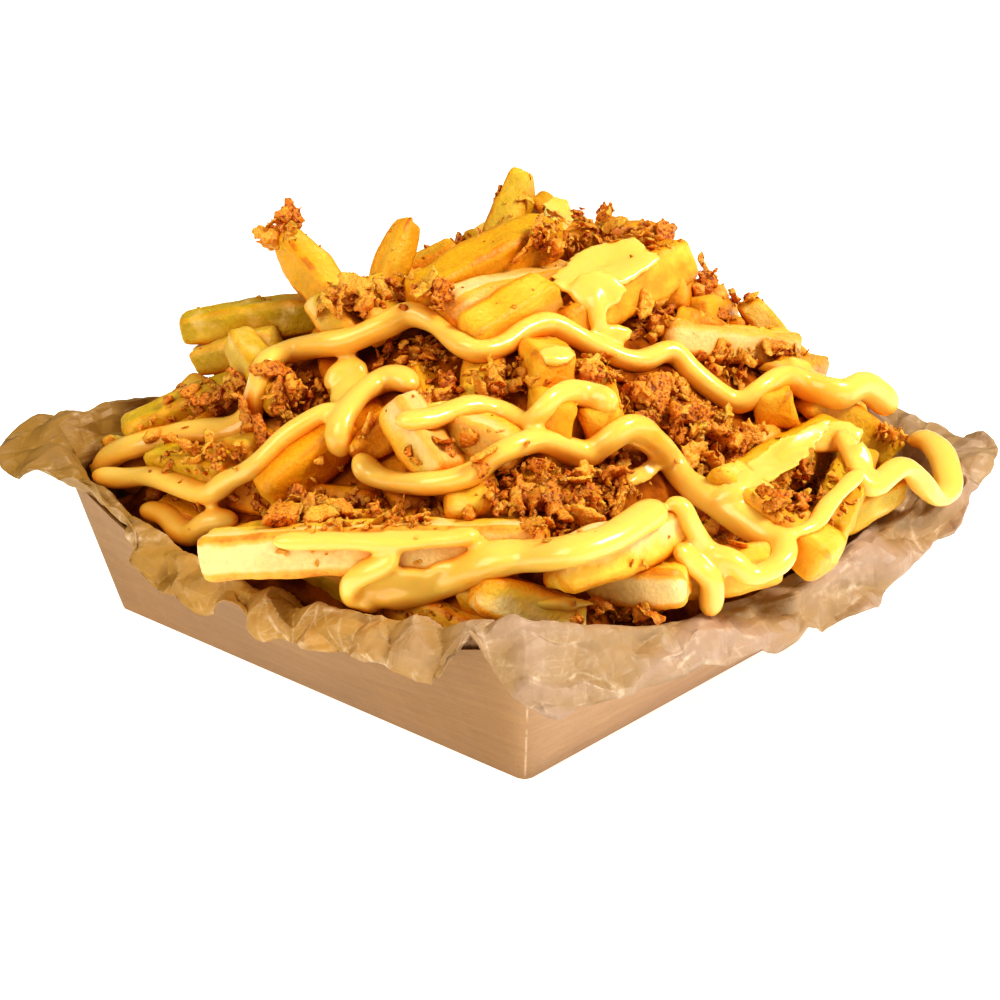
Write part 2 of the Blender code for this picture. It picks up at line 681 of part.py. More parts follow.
def smooth_route(places, step):
    """Evenly spaced places on a smooth curve through the given ones."""
    places = [Vector(p) for p in places]
    padded = [2 * places[0] - places[1], *places, 2 * places[-1] - places[-2]]
    fine = []
    for p0, p1, p2, p3 in zip(padded, padded[1:], padded[2:], padded[3:]):
        for k in range(ROUTE_FINENESS):
            t = k / ROUTE_FINENESS
            bend = (3 * p1 - p0 - 3 * p2 + p3) * t**3 + (2 * p0 - 5 * p1 + 4 * p2 - p3) * t**2
            fine.append((bend + (p2 - p0) * t + 2 * p1) / 2)
    fine.append(places[-1])
    run = [0.0]
    for a, b in zip(fine, fine[1:]):
        run.append(run[-1] + (b - a).length)
    count = max(2, round(run[-1] / step))
    route = []
    k = 0
    for n in range(count + 1):
        at = run[-1] * n / count
        while k < len(run) - 2 and run[k + 1] < at:
            k += 1
        share = (at - run[k]) / max(run[k + 1] - run[k], 1e-9)
        route.append(fine[k].lerp(fine[k + 1], share))
    return route


def off_paper(point, room, paper):
    """A point raised from the paper until there is room round it."""
    for _ in range(RAISE_STEPS):
        if paper.find_nearest(point)[3] >= room:
            break
        point = point + Vector((0, 0, RAISE_STEP))
    return point


def drape(rays, spacing, radius, food, paper):
    """Middle line of a run of sauce: each ray's first touch, bridging the hollows between fries."""
    reaches = []
    for start, heading in rays:
        touches = [food.ray_cast(start, heading)[3], paper.ray_cast(start, heading)[3]]
        if touches[1]:
            touches[1] -= radius + SAUCE_OFF_PAPER
        reaches.append(min((t for t in touches if t), default=None))
    known = [(k, r) for k, r in enumerate(reaches) if r is not None]
    bridged = []
    for k in range(len(rays)):
        bridged.append(min(r + SAUCE_STEEPEST * spacing * abs(k - n) for n, r in known))
    for _ in range(SAUCE_BLURS):
        padded = [bridged[0], *bridged, bridged[-1]]
        bridged = [(a + 2 * b + c) / 4 for a, b, c in zip(padded, padded[1:], padded[2:])]
    line = [start + heading * (r - SAUCE_LIFT * radius) for (start, heading), r in zip(rays, bridged)]
    return [off_paper(point, radius + SAUCE_OFF_PAPER, paper) for point in line]


def far_waves(distance, length, swing, waves):
    """Places in plan, in mm, of a run of sauce that waves across the far side of the mound."""
    away = Vector((-BACK.x, -BACK.y)).normalized()
    across = Vector((ACROSS.x, ACROSS.y))
    count = int(waves * FAR_PLACES)
    places = []
    for k in range(count + 1):
        share = k / count
        bow = FAR_BOW * (2 * share - 1) ** 2
        uneven = 1 + FAR_UNEVENNESS * math.sin(FAR_BEAT * share + distance)
        wave = swing * uneven * math.sin(2 * math.pi * waves * share)
        places.append(across * (share - 0.5) * length + away * (distance - bow + wave))
    return places


def sauce_runs(food, paper):
    """Every run of sauce as (middle line, radius)."""
    step = SAUCE_STEP / MM
    runs = []
    for radius, places in SHOWN_SAUCE:
        on_plane = [AIM + ACROSS * p.x * MM + UPWARD * p.y * MM for p in smooth_route(places, step)]
        rays = [(EYE, (p - EYE).normalized()) for p in on_plane]
        runs.append((drape(rays, SAUCE_STEP, radius * MM, food, paper), radius * MM))
    for radius, *wave in FAR_SAUCE:
        rays = []
        for place in smooth_route(far_waves(*wave), step):
            rays.append((Vector((place.x * MM, place.y * MM, 2 * MOUND_TOP)), Vector((0, 0, -1))))
        runs.append((drape(rays, SAUCE_STEP, radius * MM, food, paper), radius * MM))
    return runs


def add_tube(bm, line, radius):
    """A run of sauce as a closed tube, a little flat, with blunt ends."""
    rings = []
    along = line[1] - line[0]
    side = along.cross(Vector((0, 0, 1))).normalized()
    last = len(line) - 1
    for k, point in enumerate(line):
        turned = line[min(k + 1, last)] - line[max(k - 1, 0)]
        side.rotate(along.rotation_difference(turned))
        along = turned
        up = side.cross(along).normalized()
        size = radius * (SAUCE_END if k in (0, last) else 1)
        ring = []
        for n in range(SAUCE_SIDES):
            angle = 2 * math.pi * n / SAUCE_SIDES
            flat = SAUCE_FLATNESS * math.sin(angle)
            ring.append(point + (side * math.cos(angle) + up * flat) * size)
        rings.append(ring)
    capped_skin(bm, rings)


def onion_places(food):
    """Where each flake of onion lies and which way is up there, as (place, up, size)."""
    draw = random.Random(ONION_SEED)
    rays = []
    for (across, up), (half_across, half_up), count in SHOWN_ONION:
        for _ in range(count):
            turn, out = draw.uniform(0, 2 * math.pi), math.sqrt(draw.random())
            seen = (across + half_across * out * math.cos(turn), up + half_up * out * math.sin(turn), 0)
            rays.append((EYE, (from_eye(seen) - EYE).normalized()))
    away = Vector((-BACK.x, -BACK.y, 0)).normalized()
    for _ in range(FAR_ONION):
        place = away * draw.uniform(*FAR_ONION_AWAY) * MM + ACROSS * draw.uniform(*FAR_ONION_ACROSS) * MM
        rays.append((place + Vector((0, 0, 2 * MOUND_TOP)), Vector((0, 0, -1))))
    places = []
    for start, heading in rays:
        hit, normal, _, _ = food.ray_cast(start, heading)
        size = draw.uniform(*FLAKE_SIZES) * MM
        if hit and hit.z > MOUND_FOOT:
            places.append((hit, normal, size))
    return places


def add_flake(bm, place, up, size, draw):
    """One thin, crooked flake of onion."""
    tilt = Vector([draw.uniform(-FLAKE_TILT, FLAKE_TILT) for _ in range(3)])
    up = (up + tilt).normalized()
    side = up.cross(Vector([draw.uniform(-1, 1) for _ in range(3)])).normalized()
    end = side.cross(up)
    middle = place + up * size * FLAKE_LIFT
    corners = []
    for corner in FLAKE_CORNERS:
        a, b, c = (value + draw.uniform(-FLAKE_UNEVENNESS, FLAKE_UNEVENNESS) for value in corner)
        corners.append(bm.verts.new(middle + (end * a + side * b + up * c) * (size / 2)))
    for k in range(4):
        n = (k + 1) % 4
        bm.faces.new((corners[k], corners[n], corners[4]))
        bm.faces.new((corners[n], corners[k], corners[5]))


def plain_object(name, build):
    """A helper object without a material, from a function that fills a bmesh."""
    bm = bmesh.new()
    build(bm)
    bmesh.ops.triangulate(bm, faces=bm.faces)
    return bpy.data.objects.new(name, closed_mesh(name, bm))


def paper_surface():
    """A tree of the paper's middle surface."""
    bm = bmesh.new()
    skin(bm, paper_rings())
    split_quads(bm)
    tree = BVHTree.FromBMesh(bm)
    bm.free()
    return tree


def food_surface(fries):
    """A tree of the fries and the core to drop things on."""
    bm = bmesh.new()
    for fry in fries:
        add_fry(bm, fry)
    add_core(bm)
    tree = BVHTree.FromBMesh(bm)
    bm.free()
    return tree


def connected(bm):
    """The vertices of each separate body of a bmesh."""
    unseen = set(bm.verts)
    bodies = []
    while unseen:
        stack = [unseen.pop()]
        body = set(stack)
        while stack:
            for edge in stack.pop().link_edges:
                for vert in edge.verts:
                    if vert in unseen:
                        unseen.discard(vert)
                        body.add(vert)
                        stack.append(vert)
        bodies.append(body)
    return bodies


def clean_body(obj):
    """Keeps the outer shell alone, without sealed hollows or loose scraps, and thins needless faces."""
    bm = bmesh.new()
    bm.from_mesh(obj.data)
    for body in sorted(connected(bm), key=len)[:-1]:
        bmesh.ops.delete(bm, geom=list(body), context="VERTS")
    bmesh.ops.triangulate(bm, faces=bm.faces)
    share = HEAP_TRIANGLES / len(bm.faces)
    bm.to_mesh(obj.data)
    bm.free()
    thin = obj.modifiers.new("thin", "DECIMATE")
    thin.ratio = min(1, share)


def join_on(obj, pieces):
    """Joins a collection's objects on to an object as one solid, and removes them."""
    join = obj.modifiers.new("join", "BOOLEAN")
    join.operation = "UNION"
    join.operand_type = "COLLECTION"
    join.collection = pieces
    join.solver = "MANIFOLD"
    graph = bpy.context.evaluated_depsgraph_get()
    joined = bpy.data.meshes.new_from_object(obj.evaluated_get(graph))
    obj.modifiers.clear()
    obj.data = joined
    for piece in list(pieces.objects):
        bpy.data.objects.remove(piece)
    bpy.data.collections.remove(pieces)


def make_heap():
    """The heap as one solid: the core with every fry, run of sauce and onion flake joined on."""
    paper = paper_surface()
    fries = settle_in_paper(lay_fries(), paper)
    food = food_surface(fries)
    draw = random.Random(ONION_SEED)
    pieces = bpy.data.collections.new("heap pieces")
    bpy.context.scene.collection.children.link(pieces)
    for k, fry in enumerate(fries):
        edge = FRY_CORNER if k < len(SHOWN_FRIES) else 1
        pieces.objects.link(plain_object("fry", lambda bm: add_fry(bm, fry, edge)))
    for line, radius in sauce_runs(food, paper):
        pieces.objects.link(plain_object("sauce", lambda bm: add_tube(bm, line, radius)))
    for place, up, size in onion_places(food):
        if paper.find_nearest(place)[3] > size / 2 + PAPER_GAP:
            pieces.objects.link(plain_object("onion", lambda bm: add_flake(bm, place, up, size, draw)))
    bm = bmesh.new()
    add_core(bm)
    heap = to_object("cheese_fries", bm, FOOD_LOOK)
    join_on(heap, pieces)
    clean_body(heap)
    return heap


def main():
    for obj in list(bpy.data.objects):
        bpy.data.objects.remove(obj)
    make_tray()
    make_paper()
    make_heap()


main()
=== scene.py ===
"""Cheese fries in a paper-lined board tray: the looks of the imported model.

The heap is laid out by the same rule as its solid, so each real fry and run of sauce lies where the plain
one does. Lengths are metres. Places in the lists of the dressed side are millimetres as seen from the eye.
"""

import json
import math
import random

import bmesh
import bpy
import numpy as np
from bpy.props import FloatProperty, FloatVectorProperty, IntProperty, PointerProperty
from mathutils import Matrix, Quaternion, Vector, noise
from mathutils.bvhtree import BVHTree

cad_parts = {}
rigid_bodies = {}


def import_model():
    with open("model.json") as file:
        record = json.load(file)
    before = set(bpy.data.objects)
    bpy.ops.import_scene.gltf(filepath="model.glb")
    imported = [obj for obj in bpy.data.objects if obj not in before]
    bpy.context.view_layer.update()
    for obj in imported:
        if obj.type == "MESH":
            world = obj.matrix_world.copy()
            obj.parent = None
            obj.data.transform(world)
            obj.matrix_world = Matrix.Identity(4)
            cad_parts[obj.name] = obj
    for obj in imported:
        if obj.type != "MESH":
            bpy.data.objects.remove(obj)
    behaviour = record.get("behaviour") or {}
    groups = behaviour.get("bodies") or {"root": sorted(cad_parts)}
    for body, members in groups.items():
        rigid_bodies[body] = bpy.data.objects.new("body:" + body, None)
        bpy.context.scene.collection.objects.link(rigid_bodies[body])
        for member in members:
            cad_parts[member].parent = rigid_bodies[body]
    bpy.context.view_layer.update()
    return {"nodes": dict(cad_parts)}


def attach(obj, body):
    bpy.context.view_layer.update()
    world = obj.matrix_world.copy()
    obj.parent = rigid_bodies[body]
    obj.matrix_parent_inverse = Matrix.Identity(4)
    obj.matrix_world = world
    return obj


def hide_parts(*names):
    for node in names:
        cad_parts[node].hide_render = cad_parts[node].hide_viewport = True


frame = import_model()

bl_info = {
    "name": "Cheese Fries",
    "version": (1, 0, 0),
    "blender": (4, 5, 0),
    "location": "View3D > Sidebar > Cheese Fries",
    "description": "Dresses a heap of fries with cheese sauce and crisp onion in a paper-lined board tray",
    "category": "Object",
}

MM = 0.001
BODY = "root"

# Tray and paper, as the solids have them
BASE_X = 125 * MM
BASE_Y = 135 * MM
FLARE = 7 * MM
RIM_CORNER = 33 * MM
RIM_DIP = 11 * MM
RIM_BOW = 6 * MM
BOARD = 0.7 * MM
CORNER_RADIUS = 2 * MM
LEAST_RADIUS = 0.5 * MM
WALL_POWER = 1.4
WALL_PER_SIDE = 16
WALL_PER_CORNER = 2
WALL_LEVELS = (0, 0.5, 1)
PAPER = 0.4 * MM
PAPER_GAP = 0.35 * MM
HEM_CLEARANCE = 1.6 * MM
LINER_INSET = BOARD + PAPER_GAP + PAPER / 2
CRUMPLE = 1.5 * MM
CRUMPLE_WAVES = (13, 29, 47)
CRUMPLE_RISE = 0.7
HEM_RAGGEDNESS = 2.6 * MM
HEM_WAVES = (7, 17, 37)
HEM_SEED = 9
LEAST_RISE = 1.4 * MM

# The paper past the rim, in mm, at the corners, mid-sides and half-way between, in turn from the near corner:
# how far it rises over the rim, how far out its fold stands, how far the hem hangs below the fold and
# how far out the hem stands
PAPER_EDGE = (
    (5.5, 2.5, 14, 7),
    (3.8, 3, 10, 7),
    (1.4, 4, 9, 7.5),
    (2.3, 5, 7, 9),
    (1.5, 7.5, 3, 12),
    (13, 5, 12, 9.5),
    (17, 3, 15, 8),
    (16.5, 3.5, 15, 8.5),
    (13, 4, 14, 9),
    (16.5, 3.5, 14.5, 8.5),
    (17, 3, 14, 8),
    (14.5, 5, 10, 11),
    (8, 8, 2, 14),
    (8, 5, 2, 8),
    (6.8, 3.5, 6.5, 6.5),
    (6.8, 2.5, 7.5, 6.5),
)
PAPER_FOLD = (
    (0.5, 0, 0, 0, 0),
    (1, 0.5, 0, 0, 0.6),
    (0.85, 1, 0, 0, 1),
    (0.85, 1, 0.6, 0.5, 1),
    (0.85, 1, 1, 1, 1),
)

# How much further the shown hem hangs than the solid's, as (turn, mm): the notch and the flap at the near
# corner, and the torn edge to both sides of it
HEM_TRIM = (
    (0.0, -0.5), (0.003, 2.6), (0.012, 2.5), (0.022, -0.5), (0.05, -1.8), (0.085, -2.4), (0.105, -2.5),
    (0.122, -0.5), (0.14, 2), (0.17, 1.7), (0.2, 1), (0.23, 0.5), (0.24, -2), (0.26, 0), (0.75, 0),
    (0.762, 2), (0.778, -4), (0.795, -6.5), (0.812, -5.5), (0.822, 1.5), (0.84, 4.3), (0.86, 0.5),
    (0.88, -2.4), (0.895, 0.5), (0.92, -3), (0.938, -1.8), (0.955, 0.6), (0.966, -2), (0.9785, -4.5),
    (0.9835, -11), (0.991, -8), (1.0, -0.5),
)
CREST_TRIM = ((0.235, 0), (0.25, -2.5), (0.275, -1), (0.3, 0), (0.65, 0), (0.7, 1.5), (0.735, 3.5), (0.75, 0))
FLAP_START = 0.9825
FLAP_STEP = 0.003
FLAP_LENGTH = 0.13
FLAP_OUT = 1.8 * MM
FLAP_RISE = 1.2 * MM
FLAP_RISE_LENGTH = 0.03

# Creases of the shown paper: their size, number and seed, and whether their folds stand upright
PLEATS = (26 * MM, 3, 41, True)
FACETS = (12 * MM, 3, 43, False)
WRINKLES = (5 * MM, 4, 47, False)
SMOOTHNESS = 0.7
FOLD_BEND = 0.25
FOLD_SLOPE = 0.2
SHARPEST_FOLD = math.radians(9)

# Rows of the sheet over which creases set in past the rim and pleats on the hem, as (first, how many), the
# shares of facets and wrinkles below the rim, and how far the hem is pushed out in shares of its creases
RIM_ROWS = (2.0, 0.6)
HEM_ROWS = (4.2, 2.5)
FACETS_BELOW = 0.12
WRINKLES_BELOW = 0.3
HEM_PUSH = 0.5

# Heap
MOUND_X = 72 * MM
MOUND_Y = 77 * MM
MOUND_POWER = 5
MOUND_FOOT = 34 * MM
MOUND_TOP = 86 * MM
CORE_SINK = 12 * MM
CORE_GAP = 0.9 * MM
CORE_INSET = BOARD + PAPER_GAP + PAPER + CORE_GAP
CORE_LEVELS = (0, 0.45, 0.8)

# The eye point that the dressed side is laid out from, which is also the camera's
EYE_TURN = math.radians(41.8)
EYE_RISE = math.radians(21.5)
EYE_DISTANCE = 500 * MM
LENS = 77.66
AIM = Vector((-2.5, -2.25, 23.1)) * MM
LEVEL = math.cos(EYE_RISE)
ACROSS = Vector((math.cos(EYE_TURN), math.sin(EYE_TURN), 0))
BACK = Vector((math.sin(EYE_TURN) * LEVEL, -math.cos(EYE_TURN) * LEVEL, math.sin(EYE_RISE)))
UPWARD = BACK.cross(ACROSS)
EYE = AIM + BACK * EYE_DISTANCE
AWAY = Vector((-BACK.x, -BACK.y, 0)).normalized()

# Fries that show on the dressed side: each end as mm across, up and towards the eye, then the width in mm
SHOWN_FRIES = (
    ((-68.5, -13, 67), (11.5, -10, 76), 9.5),
    ((2, -16.5, 73), (44, -19.8, 79), 9.5),
    ((-9, -22.5, 82), (27, -30, 78), 8.5),
    ((40, -24, 72), (66, -15, 68), 8),
    ((50, 6, 50), (77, -14.5, 60), 9),
    ((76, -8, 52), (84, 10, 22), 8.5),
    ((66, -9, 55), (93, 1, 26), 8.5),
    ((50, 0, 50), (79, 15.5, 20), 10),
    ((72, 24, 18), (93, 10.5, 0), 9.5),
    ((38, 38.5, 26), (68, 35, 6), 8.5),
    ((57, 46, 2), (74, 26, -2), 7),
    ((64, 20.5, 30), (56, 27, -10), 9),
    ((5.5, 76.5, 6), (-4, 46, 8), 8.5),
    ((7.5, 69.5, 0), (26, 52, 8), 8),
    ((-20, 46, 38), (12.5, 62, 10), 10.5),
    ((-12, 43.5, 40), (16, 51, 24), 9.5),
    ((4, 56, 14), (38, 61, 10), 9),
    ((14, 39, 38), (43, 57, 12), 10.5),
    ((-8, 37, 46), (12, 49, 30), 9),
    ((-50, 61, 14), (-34, 41, 26), 9),
    ((-74, 39.5, 10), (-36, 44, 16), 8.5),
    ((-61.5, 38, 18), (-50, 22, 34), 8),
    ((-71, 32, 10), (-52, 37, 14), 7),
    ((-21, 64.5, 14), (-29, 46, 20), 9),
    ((-31, 50, 26), (-26, 39, 36), 9.5),
    ((-41, 47.5, 22), (-34, 37, 33), 9),
    ((-55, 1, 44), (-35, 18, 46), 12),
    ((-34, 10, 58), (-17, 24, 54), 9),
    ((-24, 23, 54), (-12.5, 5.5, 68), 9),
    ((-11, 18, 62), (4, 11, 70), 9),
    ((12.5, 17.5, 68), (10, 27, 40), 9.5),
    ((24, 16.5, 64), (22, 27, 36), 9),
    ((13, 29, 58), (6, 36, 30), 9.5),
    ((-87, 15, 14), (-50, 30, 26), 8.5),
    ((-80, 9, 24), (-62, 6.5, 38), 8),
    ((26, -27, 62), (50, -26, 54), 8),
    ((12, -16, 76), (42, -5, 66), 9.5),
)

# How each of them is fried: how golden, how olive, how crisp its edges and ends are, and how far it tapers
SHOWN_LOOKS = (
    (0, 0.1, 0.55, 0.1),
    (0.02, 0.05, 0.45, 0.1),
    (0.3, 0, 0.35, 0.3),
    (0.15, 0.1, 0.5, 0.3),
    (0.5, 0.35, 0.4, 0),
    (0.35, 0.9, 0.2, 0.3),
    (0.35, 0.9, 0.2, 0.3),
    (0.45, 0.8, 0.3, 0.1),
    (0.45, 0.45, 0.4, 0.1),
    (0.1, 0.2, 0.35, 0.1),
    (0.45, 0.45, 0.3, 0.5),
    (0.75, 0.05, 0.45, 0),
    (0.65, 0.75, 0.5, 1),
    (0.65, 0.5, 0.3, 0.6),
    (0.8, 0.5, 0.5, 0.3),
    (0.05, 0.1, 0.3, 0),
    (0.9, 0.25, 0.3, 0.3),
    (0.85, 0.3, 0.6, 0.3),
    (0.25, 0.3, 0.3, 0.1),
    (0.55, 0.4, 0.6, 0.9),
    (0.35, 1, 0.3, 0.5),
    (0.4, 0.8, 0.3, 0.4),
    (0.3, 0.8, 0.3, 0.3),
    (0.8, 0.1, 0.8, 0.9),
    (0.45, 0.6, 0.3, 0.2),
    (0.4, 0.6, 0.4, 0.2),
    (0.78, 0.05, 0.4, 0.6),
    (0.95, 0, 0.9, 0.7),
    (0.15, 0.35, 0.2, 0.2),
    (0.15, 0.35, 0.2, 0.2),
    (0.6, 0.3, 0.3, 0.1),
    (0.6, 0.3, 0.4, 0.1),
    (0.78, 0.05, 0.6, 0.2),
    # The next two, at the far left of the heap, are darker and more olive: partly as fried, partly painted
    # shade
    (0.6, 0.9, 0.4, 0.3),
    (0.5, 0.9, 0.3, 0.2),
    (0.3, 0.3, 0.3, 0.1),
    (0.1, 0.1, 0.3, 0.1),
)

# Fries in general, and the ones that fill the rest of the heap
FRY_SIZE = 9 * MM
FRY_SPREAD = (0.86, 1.08)
FRY_SHORTEST = 40 * MM
FRY_LONGEST = 78 * MM
FRY_ROLL = 0.3
FRY_STATIONS = ((0, 0.8), (0.05, 1), (0.95, 1), (1, 0.8))
FRY_SEED = 11
FILL_FRIES = 46
TRIALS = 60
TILT_REACH = 0.7
TILT_SPREAD = 0.2
HIDING = 1.5
FILL_SINK = 0.7
FILL_DEPTH = 6 * MM
UNDER_FROM = 10 * MM
UNDER_OVER = 30 * MM
UNDER_DEPTH = 4.5 * MM
EASE_ROUNDS = 60
EASE_STEP = 0.6
BITE = 0.8 * MM
SHOWN_SHIFT = 0.12
CREST_SPARE = 1.5 * MM
DIAGONAL_REACH = 1.15
PAPER_SPARE = 2.4 * MM
SETTLE_STEPS = 30
SETTLE_STEP = 0.7 * MM

# Shape of a shown fry's end, as distance from the end and radius there in shares of its half-width, and how
# a fry tapers, slants at its ends, sinks in its faces, varies along its length and browns at its ends
END_SHAPE = ((0, 0.03), (0.015, 0.5), (0.05, 0.72), (0.13, 0.87), (0.26, 0.95), (0.45, 1.0))
TAPER_LENGTH = 18 * MM
END_SLANT = (0.0, 0.32)
FACE_SINK = 0.04
WAIST = 0.16
WAIST_LENGTH = 22 * MM
END_COLOUR_LENGTH = 3.2 * MM

# Small fries deep in the gaps, and the body under the heap, dark with painted shade
GAP_SEED = 23
GAP_TRIALS = 40
GAP_DEPTH = (5 * MM, 12 * MM)
GAP_LENGTHS = (22 * MM, 48 * MM)
GAP_WIDTHS = (6.5 * MM, 9 * MM)
GAP_NEAREST = 5 * MM
FILL_LOOK_SEED = 31
DEPTH_PER_SIDE = 40
DEPTH_SHARES = 26
DEPTH_RELIEF = 1.6 * MM
DEPTH_BUMP_SIZE = 9 * MM

# Runs of sauce on the dressed side: radius in mm, then the places it passes as mm across and up as seen
SHOWN_SAUCE = (
    (3.5, ((-94.5, 6), (-89.5, 10.5), (-83.5, 13), (-70.5, 16), (-63.5, 16), (-58.5, 18.5), (-56.5, 25.5),
        (-53.5, 32.5), (-44, 35.5), (-35, 37), (-26.5, 40.5), (-21, 43), (-16, 41.5), (-10.5, 37),
        (-4.5, 34.5), (1, 36), (6, 39.5), (11.5, 40.5), (17.5, 38), (23, 35), (31.5, 32), (39.5, 34.5),
        (44, 30), (50, 25), (55.5, 22.5), (60.5, 25.5), (66, 28.5), (72, 26), (79, 24.5), (84, 26.5),
        (88, 24), (91.5, 20.5))),
    (3.2, ((94.5, 13.5), (98.5, 14), (102, 11), (103.5, 7), (104, 2.5), (101.5, 0.5), (98.5, 3), (94.5, 7.5),
        (91.5, 7), (87, 3.5), (84, 4.5), (81, 11.5), (78.5, 16))),
    (3.2, ((-94.5, 6), (-88, 5), (-80.5, 5.5), (-73, 3), (-67.5, 1.5), (-63, 4.5), (-56.5, 8), (-50.5, 14),
        (-43, 19), (-37, 21.5))),
    (3.4, ((-83.5, -2), (-77.5, -3.5), (-72, -8), (-67, -5), (-60.5, -4.5))),
    (3.4, ((-19, 25.5), (-22.5, 28), (-26.5, 28), (-32.5, 24.5), (-36.5, 19), (-37.5, 14.5), (-36, 10))),
    (3.4, ((-33.5, 10.5), (-29.5, 6), (-22.5, 4), (-14, 4), (-6.5, 6), (-1.5, 10), (5, 13), (10.5, 13.5),
        (19.5, 10.5), (24, 13), (30, 16.5), (36, 13), (39.5, 9), (43.5, 4), (51, -1), (61.5, -8),
        (65.5, -10), (65, -14.5), (58.5, -17.5), (54, -14.5), (48, -12.5), (44.5, -6.5), (42, -1.5),
        (38, -1.5))),
    (4.3, ((38, -1.5), (32.5, -4.5), (24, -9.5), (12.5, -12.5), (0.5, -13.5), (-9.5, -17), (-17, -20.5),
        (-23, -20.5), (-33, -22))),
    (2.8, ((-24.5, -10.5), (-26.5, -14.5), (-34, -18.5), (-35, -24.5))),
    (2.4, ((-53, -9.5), (-35, -9.5), (-23, -10), (-4.5, -8))),
    (3.1, ((-24.5, 18.5), (-16, 19), (-7, 22), (0, 20.5), (6.5, 18), (12.5, 23.5), (17, 25), (23, 23.5),
        (27, 21.5))),
    (2.4, ((-40, 25.5), (-38, 29.5), (-33.5, 31), (-31, 28.5))),
    (2.3, ((23, 53.5), (22.5, 48), (22.5, 42), (24, 38))),
    (2.2, ((84, 7), (76.5, -0.5), (72.5, -6), (66, -8))),
    (3.4, ((40.5, -10.5), (44.5, -14.5), (49, -18.5), (48.5, -27))),
    (2.4, ((67, 33), (72, 28.5), (77.5, 26.5))),
)

# Pools of sauce: place across and up as seen and half-sizes, all in mm, the angle of their long side in
# degrees, the radius in mm of the drops they are made of, and how wide a hollow they span in mm
SHOWN_POOLS = (
    ((-22, -20.5), (12.5, 5), 5, 3.4, 14),
    ((-31.5, -22), (5.5, 4.4), 0, 3.4, 14),
    ((-12, -17), (8, 3.5), 20, 2.6, 10),
    ((24, 54), (13, 5.8), 16, 2.0, 16),
    ((22.5, 48.5), (6.8, 5), 0, 1.5, 16),
    ((22.3, 43.5), (2, 5.5), 0, 1.9, 14),
    ((25.5, 38), (5.5, 2.8), 10, 1.9, 12),
    ((13, 66), (5, 4.5), -50, 1.6, 4),
    ((63, 8.5), (16, 4), 34, 1.7, 10),
    ((77, 14.5), (8, 3.8), 12, 1.7, 10),
    ((84, 8), (3, 6), 0, 1.7, 10),
    ((14.5, -24), (8, 2), 0, 1.3, 3),
    ((13, 33.5), (5, 3), 0, 1.4, 3),
    ((-89, 13.5), (4, 2), 0, 1.8, 3),
    ((-12, 21), (9, 2.5), 5, 1.4, 3),
    ((-35, 26), (6, 3), 40, 1.5, 3),
    ((66, 31), (7, 2), 5, 1.3, 3),
    ((74, 27), (6, 2), -10, 1.5, 3),
    ((-19, -8.5), (16, 2), 0, 1.2, 3),
    ((33, 6), (6, 2.5), 30, 1.3, 3),
)
POOL_SEED = 17
POOL_SPACING = 1.0
POOL_UNEVENNESS = 0.18
POOL_BLURS = 10
POOL_SINK = 0.5

# Runs on the far side, as waves in plan across the mound: radius, distance from its middle, length and
# swing in mm, and number of waves
FAR_SAUCE = ((3.1, 40, 110, 6, 3.5), (3.0, 63, 68, 6, 2.5))
FAR_BOW = 10
FAR_UNEVENNESS = 0.3
FAR_BEAT = 5
FAR_PLACES = 6
SAUCE_LIFT = 0.5
SAUCE_STEEPEST = 1.2
ROUTE_FINENESS = 12
TUBE_ENDS = (0.35, 0.7, 0.88, 0.96)
UNEVEN_SIZE = 9 * MM

# Heaps of crisp onion on the dressed side: place across and up as seen and half-sizes, all in mm, and share
# of the flakes
SHOWN_ONION = (
    ((14, 5), (21, 9.5), 12),
    ((43, 18), (17, 13), 9),
    ((-9, 30), (15, 10), 7),
    ((-34, -3), (21, 5), 6.5),
    ((-68, 5), (14, 9), 5),
    ((-66, 23), (11, 5), 2.5),
    ((-76, 16), (8, 3.5), 1.5),
    ((23, 30.5), (6, 3), 1.2),
    ((-50, 22), (12, 9), 4),
    ((26, 62), (17, 6), 5),
    ((-28, 47), (15, 6), 3.5),
    ((-21, 33), (8, 4), 1.5),
    ((36, 42), (5, 4), 1),
    ((11, -7), (5, 3.5), 1.5),
    ((71, 3), (13, 10), 6),
    ((94, 17.5), (6, 4.5), 4),
    ((59, 32.5), (14, 4), 3),
    ((-48, 62), (5, 1.8), 0.6),
    ((52, -5), (6, 6), 2),
    ((-17, -25), (7, 3), 1),
    ((24, -26), (12, 2.5), 1.6),
    ((13, 60), (7, 3), 1),
    ((0, 10), (80, 30), 6),
)
FAR_ONION = 16
FAR_ONION_AWAY = (5, 66)
FAR_ONION_ACROSS = (-60, 60)
ONION_SEED = 5
ON_SAUCE = 0.03
CLEAR_OF_SAUCE = 0.42
LOWEST_ONION = 26 * MM
SIZE_POWER = 1.9
FLAKE_SINK = 0.1
FLAKE_LEAN = 0.9
PILE_SHARE = 0.27
PILE_LIMIT = 5.5 * MM
FLAKE_BLISTERS = 84
SHRED_SIDES = 8
CRUMB_KINDS = 6
CRUMB_SIZES = (0.5, 1.6)

# Shapes of onion, for a flake or shred about 1 long
FLAKE_WIDTHS = (0.35, 0.9)
FLAKE_CURL = 1.2
FLAKE_TWIST = 0.9
FLAKE_ROUGHNESS = (0.015, 0.05, 0.1)
FLAKE_RELIEF = 0.035
BLISTER_SIZES = (0.035, 0.08)
SHRED_WIDTHS = (0.1, 0.2)
SHRED_THICKNESSES = (0.025, 0.05)
SHRED_CURL = 2.2
SHRED_TWIST = 2.0

# The onion's pieces from large to small: name, which of the sorted flakes, how finely a flake is fused, steps
# along a shred, and whether they are shaded smooth
ONION_PIECES = (
    ("onion_flakes", slice(200), 0.06, 26, True),
    ("onion_pieces", slice(200, 1000), 0.11, 16, True),
    ("onion_bits", slice(1000, None), 0.17, 9, False),
)
